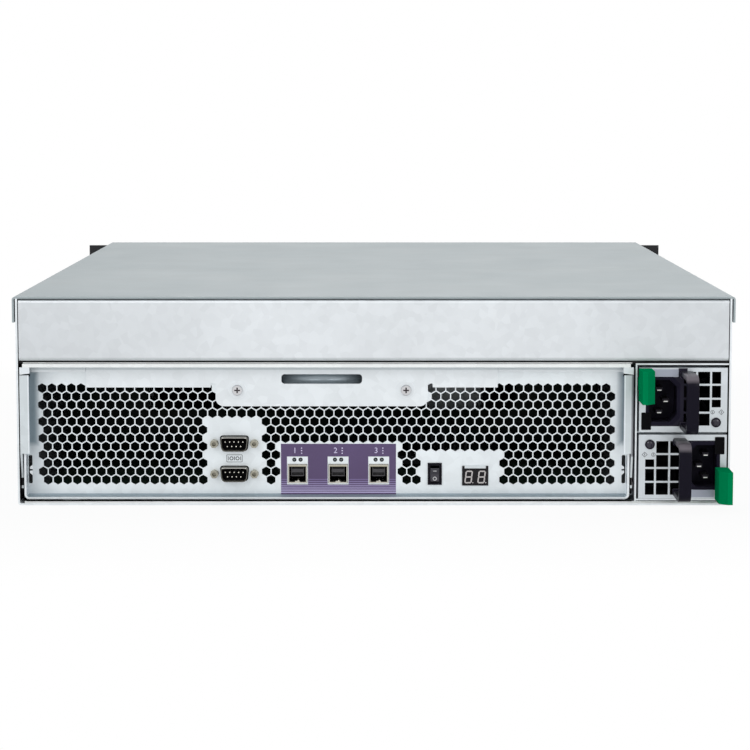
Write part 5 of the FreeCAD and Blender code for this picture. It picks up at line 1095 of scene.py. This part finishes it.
new_piece("link_flaps", mesh_of("link_flaps", merged(flaps)), flap_metal, "canister")

# %% Port lamps
lamp_rings, lamp_eyes = [], []
for x in LINK_COLUMNS:
    for side in (-1, 1):
        at = (x + side * 1.95, 26.9)
        lamp_rings.append(sheet_form([circle(1.3, at), circle(0.72, at)], "Y", PANEL_FACE - 0.12, PANEL_FACE))
        dome = ((0.0, PANEL_FACE - 0.25), (0.3, PANEL_FACE - 0.2), (0.6, PANEL_FACE - 0.1), (0.72, PANEL_FACE))
        lamp_eyes.append(turned(dome, (at[0], 0, at[1]), "Y", 16))
new_piece("link_lamp_rings", mesh_of("link_lamp_rings", merged(lamp_rings)), dark_room, "canister")
lamp_lens = plain_finish("lamp_lens", linear(96, 104, 106), 0.15, 0.0, 2600.0, 0.000004)
new_piece("link_lamps", mesh_of("link_lamps", merged(lamp_eyes)), lamp_lens, "canister", smooth=True)
print("link ports:", len(LINK_COLUMNS))

# %% [markdown]
# ## The violet label
# A printed film covers the ground round the link ports. Lilac lines cross its lower third, each a little broader
# and paler than the one above. They depend only on height, so they are worked out in the material from the piece's
# own coordinates. Plain port numbers are cut as thin letters, because a shape keeps its edge at any zoom.

# %% Film with lines
LABEL_LOW, _ = node_box("port_label")
LINE_PITCH = 1.38
FIRST_LINE = 1.0
LINE_COUNT = 7


def label_finish():
    finish, tree, shader = new_finish("label_lines", 0.0)
    surface = place_group(tree, GRAIN, Grain_Scale=2600.0)
    place = add(tree, "ShaderNodeSeparateXYZ")
    join(tree, add(tree, "ShaderNodeTexCoord").outputs["Object"], place.inputs[0])
    above = arithmetic(tree, "SUBTRACT", place.outputs["Z"], (LABEL_LOW.z + FIRST_LINE) * MM)
    step = arithmetic(tree, "DIVIDE", above, LINE_PITCH * MM)
    across = arithmetic(tree, "FRACT", step)
    fading = stretch(tree, step, 0.0, LINE_COUNT, 0.62, 0.34)
    line = arithmetic(tree, "LESS_THAN", across, fading)
    low = arithmetic(tree, "GREATER_THAN", step, 0.0)
    high = arithmetic(tree, "LESS_THAN", step, LINE_COUNT - 0.5)
    mask = arithmetic(tree, "MULTIPLY", arithmetic(tree, "MULTIPLY", line, low), high)
    lilac = mix_colour(tree, stretch(tree, step, 0.0, LINE_COUNT - 1), linear(199, 188, 226), linear(126, 110, 156))
    violet = mix_colour(tree, surface.outputs["Drift"], linear(83, 65, 102), linear(91, 73, 114))
    join(tree, mix_colour(tree, mask, violet, lilac), shader.inputs["Base Color"])
    join(tree, stretch(tree, surface.outputs["Drift"], 0.0, 1.0, 0.42, 0.52), shader.inputs["Roughness"])
    bump(tree, shader, surface.outputs["Height"], 0.2, 0.00001)
    return finish


dress("port_label", label_finish())


# %% Printed figures
def figure_form(text, centre_x, centre_z, height, front, thickness=0.06):
    """Plain figures as a thin form that faces the rear"""
    curve = bpy.data.curves.new("figure", "FONT")
    curve.body = text
    curve.size = height * 1.4
    curve.align_x = "CENTER"
    curve.align_y = "CENTER"
    curve.extrude = thickness / 2
    curve.resolution_u = 3
    holder = bpy.data.objects.new("figure", curve)
    mesh = bpy.data.meshes.new_from_object(holder)
    form = bmesh.new()
    form.from_mesh(mesh)
    bpy.data.objects.remove(holder)
    bpy.data.curves.remove(curve)
    bpy.data.meshes.remove(mesh)
    place = Matrix.Translation((centre_x, front - thickness / 2, centre_z))
    bmesh.ops.transform(form, matrix=place @ AXIS_TURN["Y"], verts=form.verts)
    return form


print_lilac = plain_finish("print_lilac", linear(214, 205, 236), 0.5, 0.0, 2600.0, 0.000005)
print_grey = plain_finish("print_grey", linear(74, 76, 80), 0.5, 0.0, 2600.0, 0.000005)
numbers = [figure_form(str(n + 1), x - 1.6, 32.6, 3.6, LABEL_LOW.y) for n, x in enumerate(LINK_COLUMNS)]
for x in LINK_COLUMNS:
    for dot in range(3):
        at = (x + 2.6, 31.0 + 1.6 * dot)
        numbers.append(sheet_form([circle(0.42, at, 12)], "Y", LABEL_LOW.y - 0.06, LABEL_LOW.y))
new_piece("label_numbers", mesh_of("label_numbers", merged(numbers)), print_lilac, "canister")

# %% Marks on the bare sheet
marks = []
MARK_Z = 27.7
frame_outer = rectangle(SERIAL_X - 5.0, MARK_Z - 2.4, SERIAL_X + 5.0, MARK_Z + 2.4, 0.5)
frame_inner = rectangle(SERIAL_X - 4.7, MARK_Z - 2.1, SERIAL_X + 4.7, MARK_Z + 2.1, 0.4)
marks.append(sheet_form([frame_outer, frame_inner], "Y", PANEL_FACE - 0.05, PANEL_FACE))
for offset in (-1.9, 1.9):
    at = (SERIAL_X + offset, MARK_Z)
    marks.append(sheet_form([circle(1.25, at, 20), circle(0.75, at, 20)], "Y", PANEL_FACE - 0.05, PANEL_FACE))
for offset in (-3.9, 0.0, 3.9):
    tick = rectangle(SERIAL_X + offset - 0.22, MARK_Z - 1.2, SERIAL_X + offset + 0.22, MARK_Z + 1.2)
    marks.append(sheet_form([tick], "Y", PANEL_FACE - 0.05, PANEL_FACE))
new_piece("sheet_marks", mesh_of("sheet_marks", merged(marks)), print_grey, "canister")

# %% [markdown]
# ## Switch and display
# The rocker sits in a black bezel and carries a ring at its lower end and a short bar at its upper one. The display
# holds two slanted seven-bar figures that aren't lit, each with a point. A bar is a six-sided outline; seven of
# them and a slant make a figure.

# %% Rocker marks
ring_at = (SWITCH[0], 15.0)
ring = sheet_form([circle(1.25, ring_at, 24), circle(0.8, ring_at, 24)], "Y", -283.06, -282.9)
dash = bar((SWITCH[0] - 1.1, -284.0, 19.75), (SWITCH[0] + 1.1, -283.72, 20.15))
print_white = plain_finish("print_white", linear(205, 204, 204), 0.45, 0.0, 2600.0, 0.000005)
new_piece("rocker_marks", mesh_of("rocker_marks", merged([ring, dash])), print_white, "rocker")
rocker_black = plain_finish("rocker_black", linear(52, 49, 58), 0.34, 0.0, 2400.0, 0.00002, linear(90, 88, 96))
dress("power_switch_rocker", rocker_black)

# %% Display figures
FACE_LOW, FACE_HIGH = node_box("id_display")
DIGIT_HEIGHT, DIGIT_WIDTH, BAR_WIDTH = 8.0, 4.6, 0.8
SLANT = 0.12
GLASS_TOP = FACE_HIGH.z - 1.5


def digit_bar(start, end, half):
    """A six-sided bar between two points"""
    start, end = Vector(start), Vector(end)
    along = (end - start).normalized()
    side = Vector((-along.y, along.x)) * half
    inner, outer = along * half, along * half * 0.15
    points = [
        start + outer,
        start + inner - side,
        end - inner - side,
        end - outer,
        end - inner + side,
        start + inner + side,
    ]
    return points


def digit_form(centre_x, centre_z):
    half_width, half_height = (DIGIT_WIDTH - BAR_WIDTH) / 2, (DIGIT_HEIGHT - BAR_WIDTH) / 2
    corners = {
        "left_low": (-half_width, -half_height),
        "left_middle": (-half_width, 0),
        "left_high": (-half_width, half_height),
        "right_low": (half_width, -half_height),
        "right_middle": (half_width, 0),
        "right_high": (half_width, half_height),
    }
    pairs = (
        ("left_low", "right_low"),
        ("left_middle", "right_middle"),
        ("left_high", "right_high"),
        ("left_low", "left_middle"),
        ("left_middle", "left_high"),
        ("right_low", "right_middle"),
        ("right_middle", "right_high"),
    )
    forms = []
    for start, end in pairs:
        points = [
            (centre_x + point.x + SLANT * point.y, centre_z + point.y)
            for point in digit_bar(corners[start], corners[end], BAR_WIDTH / 2)
        ]
        forms.append(sheet_form([points], "Y", FACE_LOW.y - 0.05, FACE_LOW.y + 0.05))
    dot = (centre_x + half_width + 0.7, centre_z - half_height)
    forms.append(sheet_form([circle(0.36, dot, 12)], "Y", FACE_LOW.y - 0.05, FACE_LOW.y + 0.05))
    return forms


glass_middle = (FACE_LOW.z + GLASS_TOP) / 2
digits = digit_form(DISPLAY[0] - 4.1, glass_middle) + digit_form(DISPLAY[0] + 4.0, glass_middle)
digit_grey = plain_finish("digit_grey", linear(198, 192, 190), 0.4, 0.0, 2600.0, 0.000005)
new_piece("display_figures", mesh_of("display_figures", merged(digits)), digit_grey, "canister")
lip = bar((DISPLAY[0] - 6.6, FACE_LOW.y - 0.1, GLASS_TOP), (DISPLAY[0] + 6.6, FACE_LOW.y + 0.7, FACE_HIGH.z + 0.1), 0.2)
lip_grey = plain_finish("lip_grey", linear(222, 228, 230), 0.4, 0.0, 2600.0, 0.00001)
new_piece("display_lip", mesh_of("display_lip", lip), lip_grey, "canister")
print("display figures:", len(digits))

# %% [markdown]
# ## Bracket and captive screws
# The bracket's pull slot shows a rounded lip behind it, like half a tube lying on its side, so its top is in shade
# and its middle catches light; the lip is also painted a darker grey than the sheet, painted shade. Each captive
# screw has a cross recess: a cap with a cross cut through it over a darker floor gives real depth, the floor's dark
# grey being painted shade.

# %% Pull slot
SLOT_LEFT, SLOT_RIGHT, SLOT_LOW, SLOT_HIGH = -57.55, -7.25, 74.8, 80.8
lip_steps = 12
slot_profile = []
for step in range(lip_steps + 1):
    angle = math.radians(180 * step / lip_steps)
    slot_profile.append((-282.0 + 3.4 * math.sin(angle), SLOT_HIGH + 0.3 - 3.3 * (1 - math.cos(angle))))
slot_wall = [(along + 0.6, rise) for along, rise in reversed(slot_profile)]
pocket_form = sheet_form([slot_profile + slot_wall], "X", SLOT_LEFT - 0.4, SLOT_RIGHT + 0.4)
ends = [
    bar((SLOT_LEFT - 1.0, -282.0, SLOT_LOW - 0.3), (SLOT_LEFT - 0.4, -278.0, SLOT_HIGH + 0.3)),
    bar((SLOT_RIGHT + 0.4, -282.0, SLOT_LOW - 0.3), (SLOT_RIGHT + 1.0, -278.0, SLOT_HIGH + 0.3)),
]
# The lip behind the slot is painted a darker grey than the sheet: painted shade
slot_shade_grey = plain_finish("slot_shade_grey", linear(150, 160, 166), 0.38, 0.55, 1800.0, 0.00001)
new_piece("pull_slot_lip", mesh_of("pull_slot_lip", merged([pocket_form] + ends)), slot_shade_grey, "canister")

# %% Captive screws
HEAD_FRONT, HEAD_BACK = -286.6, -284.0
HEAD_RADIUS = 3.3
SCREW_END = node_box("captive_screw_left")[1].y
RING_FRONT, RING_BACK = -276.75, -276.05
CROSS_REACH, CROSS_HALF = 1.8, 0.48


def cross(at, reach, half):
    """A twelve-cornered cross"""
    quarter = [(reach, -half), (reach, half), (half, half)]
    points = []
    for turn in range(4):
        angle = math.radians(90 * turn)
        for x, z in quarter:
            across, up = x * math.cos(angle) - z * math.sin(angle), x * math.sin(angle) + z * math.cos(angle)
            points.append((at[0] + across, at[1] + up))
    return points


# A darker floor under each cut cross: painted shade in the recess
cross_floor = plain_finish("cross_floor", linear(70, 66, 68), 0.5, 1.0, 1800.0, 0.00001)
for side, x in (("left", -84.95), ("right", 20.15)):
    at = (x, 71.0)
    cap_outline = [circle(HEAD_RADIUS - 0.35, at, 32), cross(at, CROSS_REACH, CROSS_HALF)]
    cap = sheet_form(cap_outline, "Y", HEAD_FRONT, HEAD_FRONT + 1.0)
    rim = turned(
        (
            (HEAD_RADIUS - 0.35, HEAD_FRONT),
            (HEAD_RADIUS, HEAD_FRONT + 0.45),
            (HEAD_RADIUS, HEAD_BACK - 0.05),
            (0, HEAD_BACK - 0.05),
        ),
        (x, 0, 71.0),
    )
    shank = turned(((1.5, HEAD_BACK - 0.1), (1.5, SCREW_END - 0.4), (0, SCREW_END)), (x, 0, 71.0), "Y", 24)
    ring_profile = [(2.55, RING_FRONT), (2.55, RING_BACK), (1.5, RING_BACK), (1.5, RING_FRONT), (2.55, RING_FRONT)]
    ring = turned(ring_profile, (x, 0, 71.0), "Y", 24)
    new_piece(
        "captive_head_" + side,
        mesh_of("captive_head_" + side, merged([cap, rim, shank, ring])),
        finishes["steel_screw"],
        "screw_" + side,
        ("captive_screw_" + side,),
    )
    # The dark disc under the cut cross is painted shade
    floor_disc = sheet_form([circle(CROSS_REACH + 0.3, at, 20)], "Y", HEAD_FRONT + 0.95, HEAD_FRONT + 1.05)
    new_piece("captive_cross_" + side, mesh_of("captive_cross_" + side, floor_disc), cross_floor, "screw_" + side)
print("captive screws:", 2)

# %% [markdown]
# ## Power modules
# The two supply modules are the same unit, the lower one turned half round. Their small pieces are therefore made
# once in the module's own coordinates, with the rear face at zero, and set in place twice by a matrix. The handle is
# a bent strap with soft edges, so its outline is a U drawn from the side and its edges are rounded by a modifier.

# %% Places of the modules
MODULES = {
    "upper": Matrix.Translation((MODULE_X, REAR_END, 65.9)),
    "lower": Matrix.Translation((MODULE_X, REAR_END, 24.2)) @ Matrix.Rotation(math.pi, 4, "Y"),
}


def copied(form, matrix):
    """A copy of a form moved by a matrix"""
    twin = form.copy()
    bmesh.ops.transform(twin, matrix=matrix, verts=twin.verts)
    return twin


def strap(reach, half, corner, thickness, steps=6):
    """A U-shaped outline in the y-z plane, open at the face"""
    def arm(back, side, bend):
        points = [(0.0, -side)]
        for step in range(steps + 1):
            angle = math.radians(90 * step / steps)
            points.append((back + bend - bend * math.sin(angle), -side + bend - bend * math.cos(angle)))
        for step in range(steps + 1):
            angle = math.radians(90 * step / steps)
            points.append((back + bend - bend * math.cos(angle), side - bend + bend * math.sin(angle)))
        return points + [(0.0, side)]

    outer = arm(-reach, half, corner)
    inner = arm(-reach + thickness, half - thickness, corner - thickness)
    return outer + inner[::-1]


# %% Handles, lamps and marks
handle = sheet_form([strap(32.0, 18.0, 6.6, 3.0)], "X", -1.75, 5.75)
HANDLE_FEET = [
    bar((-2.2, -2.2, side * 18.0 - 1.9), (6.2, 0.0, side * 18.0 + 1.9), 0.6) for side in (-0.86, 0.86)
]
lamp_dome = turned(((0, -1.3), (1.0, -1.2), (1.9, -0.95), (2.5, -0.5), (2.75, 0.0)), (LAMP_AT[0], 0, LAMP_AT[1]), "Y", 28)
lamp_ring = sheet_form([circle(3.0, LAMP_AT, 32), circle(2.7, LAMP_AT, 32)], "Y", -0.85, 0.0)
module_marks = []
for x, sides in ((18.2, 20), (23.6, 4)):
    outer, inner = (regular(sides, across, (x, -7.6), 90) for across in (2.5, 1.9))
    module_marks.append(sheet_form([outer, inner], "Y", -0.05, 0.0))
    module_marks.append(sheet_form([rectangle(x - 0.2, -8.4, x + 0.2, -7.0)], "Y", -0.06, 0.0))
catch_block = merged(
    [
        sheet_form([rectangle(-25.9, -18.6, -19.9, -7.8, 0.5), rectangle(-24.9, -17.4, -21.2, -9.0, 0.3)], "Y", -0.5, 0.0),
        sheet_form([rectangle(-25.9, -18.6, -19.9, -7.8, 0.5)], "Y", -0.12, 0.0),
    ]
)
# A lavender-grey patch on the module face above the inlet: painted shade
plate_shade = sheet_form([rectangle(-19.6, 14.5, -3.2, 19.2, 0.2)], "Y", -0.15, 0.0)
lamp_glass = plain_finish("lamp_glass", linear(30, 24, 42), 0.08, 0.0, 3000.0, 0.000003, linear(96, 84, 120))
# Painted highlights: a lighter patch on each handle's upper bend
PAINTED_SHINE = (linear(112, 106, 112), 0.34, 0.0)
bend_highlights = [
    (PAINTED_SHINE, *module_box("upper", 2.0, 16.9, 6.5, 3.4, -340.0, -306.0), 2.4),
    (PAINTED_SHINE, *module_box("lower", 2.0, -16.4, 6.5, 3.4, -340.0, -306.0), 2.4),
]
handle_black = patched("handle_black", (linear(22, 20, 31), 0.34, 0.0), bend_highlights, 0.06)
face_shade_lavender = plain_finish("face_shade_lavender", linear(168, 172, 186), 0.42, 0.5, 1600.0, 0.00001)

for level, matrix in MODULES.items():
    body = "psu_" + level
    for name, form, finish, slot, stands_for, soften, smooth in (
        ("handle", handle, handle_black, "handle_plastic", (body + "_handle",), 1.1, False),
        ("handle_feet", merged([copied(foot, Matrix.Identity(4)) for foot in HANDLE_FEET]), finishes["handle_plastic"], "handle_plastic", (), 0.4, False),
        ("lamp", lamp_dome, lamp_glass, None, (), 0.0, True),
        ("lamp_ring", lamp_ring, finishes["black_plastic"], None, (), 0.0, False),
        ("marks", merged([copied(mark, Matrix.Identity(4)) for mark in module_marks]), print_grey, None, (), 0.0, False),
        ("catch", catch_block, dark_room, None, (), 0.0, False),
        ("plate", plate_shade, face_shade_lavender, None, (), 0.0, False),
    ):
        label = body + "_" + name + "_piece"
        new_piece(label, mesh_of(label, copied(form, matrix)), finish, body, stands_for, soften, smooth)
print("modules dressed:", list(MODULES))

# %% [markdown]
# ## Drive carriers
# Sixteen carriers fill the front. They are one part, so each of their small pieces is one mesh that sixteen objects
# share, and a change shows on all of them. The long release lever gets a hinge pin, grip ribs and a button, the
# four vents get a fine punched sheet behind them, and two small lamps sit at the carrier's edge.

# %% Carrier pieces in their own coordinates
TRAY_HALF = 53.2
LEVER_FACE_Y, BEZEL_FACE_Y, TRAY_PLANE_Y = 12.0, 9.0, 0.0
TRAY_MIDDLE = 14.8
LEVER_START, LEVER_END = -48.2, 17.8
VENTS = [(19.2 + 8.0 * number, 24.2 + 8.0 * number) for number in range(4)]
VENT_LOW, VENT_HIGH = 3.2, 25.6
FINE_HOLE, FINE_PITCH = 1.7, 2.1

ribs = []
for number in range(9):
    x = LEVER_END - 9.0 - 1.7 * number
    ribs.append(bar((x - 0.4, LEVER_FACE_Y, TRAY_MIDDLE - 4.2), (x + 0.4, LEVER_FACE_Y + 0.5, TRAY_MIDDLE + 4.2), 0.2))
rim_outer = rectangle(LEVER_START + 0.6, TRAY_MIDDLE - 5.0, LEVER_END - 0.4, TRAY_MIDDLE + 5.0, 1.2)
rim_inner = rectangle(LEVER_START + 1.6, TRAY_MIDDLE - 4.3, LEVER_END - 1.2, TRAY_MIDDLE + 4.3, 0.8)
rim = sheet_form([rim_outer, rim_inner], "Y", LEVER_FACE_Y, LEVER_FACE_Y + 0.35)
pin_at = (LEVER_START + 4.4, TRAY_MIDDLE)
hinge_cap = sheet_form([circle(2.0, pin_at, 24), circle(0.9, pin_at, 16)], "Y", LEVER_FACE_Y, LEVER_FACE_Y + 0.6)
button = bar(
    (LEVER_END - 6.6, LEVER_FACE_Y, TRAY_MIDDLE - 3.2), (LEVER_END - 2.0, LEVER_FACE_Y + 1.1, TRAY_MIDDLE + 3.2), 0.8
)
fine_holes = []
for start, end in VENTS:
    for row in range(10):
        offset = FINE_PITCH / 2 if row % 2 else 0.0
        for column in range(2):
            at = (start + 1.5 + offset + column * FINE_PITCH, VENT_LOW + 1.9 + row * 2.05)
            fine_holes.append(regular(6, FINE_HOLE, at, 30))
vent_sheet = sheet_form(
    [rectangle(VENTS[0][0] - 1.0, VENT_LOW - 0.6, VENTS[-1][1] + 1.0, VENT_HIGH + 0.2)] + fine_holes,
    "Y",
    TRAY_PLANE_Y + 0.1,
    TRAY_PLANE_Y + 0.5,
)
tray_lamps = []
for offset in (-8.0, -4.6):
    dome = ((0.0, BEZEL_FACE_Y + 0.35), (0.5, BEZEL_FACE_Y + 0.25), (0.85, BEZEL_FACE_Y))
    tray_lamps.append(turned(dome, (50.9, 0, TRAY_MIDDLE + offset), "Y", 16))
lid_outline = rectangle(-48.5, -146.0, 48.5, -6.0, 3.0)
lid_screws = [circle(2.0, (x, y), 16) for x in (-44.5, 44.5) for y in (-142.0, -76.0, -10.0)]
drive_lid = sheet_form([lid_outline] + lid_screws, "Z", 27.3, 27.42)

button_grey = plain_finish("button_grey", linear(112, 114, 118), 0.42, 0.0, 2200.0, 0.00002, specular=0.3)
lid_metal = plain_finish("lid_metal", linear(176, 178, 182), 0.38, 0.9, 1500.0, 0.00002)
carrier_pieces = (
    ("trim", merged([rim, hinge_cap] + ribs), finishes["tray_plastic"], "tray_plastic"),
    ("button", button, button_grey, None),
    ("vent", vent_sheet, finishes["perforated_steel"], "perforated_steel"),
    ("lamps", merged(tray_lamps), lamp_lens, None),
    ("lid", drive_lid, lid_metal, None),
)
carrier_meshes = {name: mesh_of("carrier_" + name, form) for name, form, _, _ in carrier_pieces}

# %% Sixteen carriers
TRAY_COUNT = 16
sled_patch = (BRIGHT, (-230, 140, -2), (230, 293.95, 130))
carrier_stuffs = patched("carrier_sheet", (linear(40, 40, 44), 0.46, 0.0), [sled_patch])
for number in range(1, TRAY_COUNT + 1):
    node = "drive_tray_%02d" % number
    low, high = node_box(node)
    dress(node, carrier_stuffs)
    place = Vector(((low.x + high.x) / 2, 294.0, low.z)) * MM
    for name, _, finish, slot in carrier_pieces:
        label = "carrier_%02d_%s" % (number, name)
        new_piece(label, carrier_meshes[name], finish, node + "_body", place=place)
print("carriers dressed:", TRAY_COUNT, "at", tuple(round(value, 1) for value in low), "last")

# %% [markdown]
# ## Covers, ears and fasteners
# The rack ears and the release tabs are moulded or bent, so their edges take a small bevel. The four cover screws
# get a flat dark cross laid on them, painted shade standing for a recess, and a row of short louvres isn't needed,
# since all the air leaves at the back.

# %% Softer edges and painted screw crosses
def soften(node, width, segments=2):
    """A bevel on the solid's sharp edges"""
    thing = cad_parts[node]
    edge = thing.modifiers.new("soft_edges", "BEVEL")
    edge.width = width * MM
    edge.segments = segments
    edge.limit_method = "ANGLE"
    edge.angle_limit = math.radians(50)


for node in ("psu_upper_latch", "psu_lower_latch"):
    soften(node, 1.2, 3)
for node in ("rack_ear_left", "rack_ear_right"):
    soften(node, 0.5)
soften("canister_bracket", 0.3)

# Each cover screw's cross is a thin dark form on the cover: painted shade standing for a recess
SCREW_Z, SCREW_OUT = 122.0, 224.5
recess_shades = []
for side in (-1, 1):
    for y in (-254.0, 254.0):
        faces = sorted((side * SCREW_OUT, side * (SCREW_OUT + 0.06)))
        recess_shades.append(sheet_form([cross((y, SCREW_Z), 1.5, 0.35)], "X", *faces))
new_piece("cover_screw_recesses", mesh_of("cover_screw_recesses", merged(recess_shades)), cross_floor, "chassis")
print("cover screws:", len(recess_shades))

# %% [markdown]
# ## Size
# The dressed server has to fill the same box as the construction model. The construction model's box is printed.

# %% Sizes
print("construction box:", [[round(value, 4) for value in corner] for corner in cad_box])
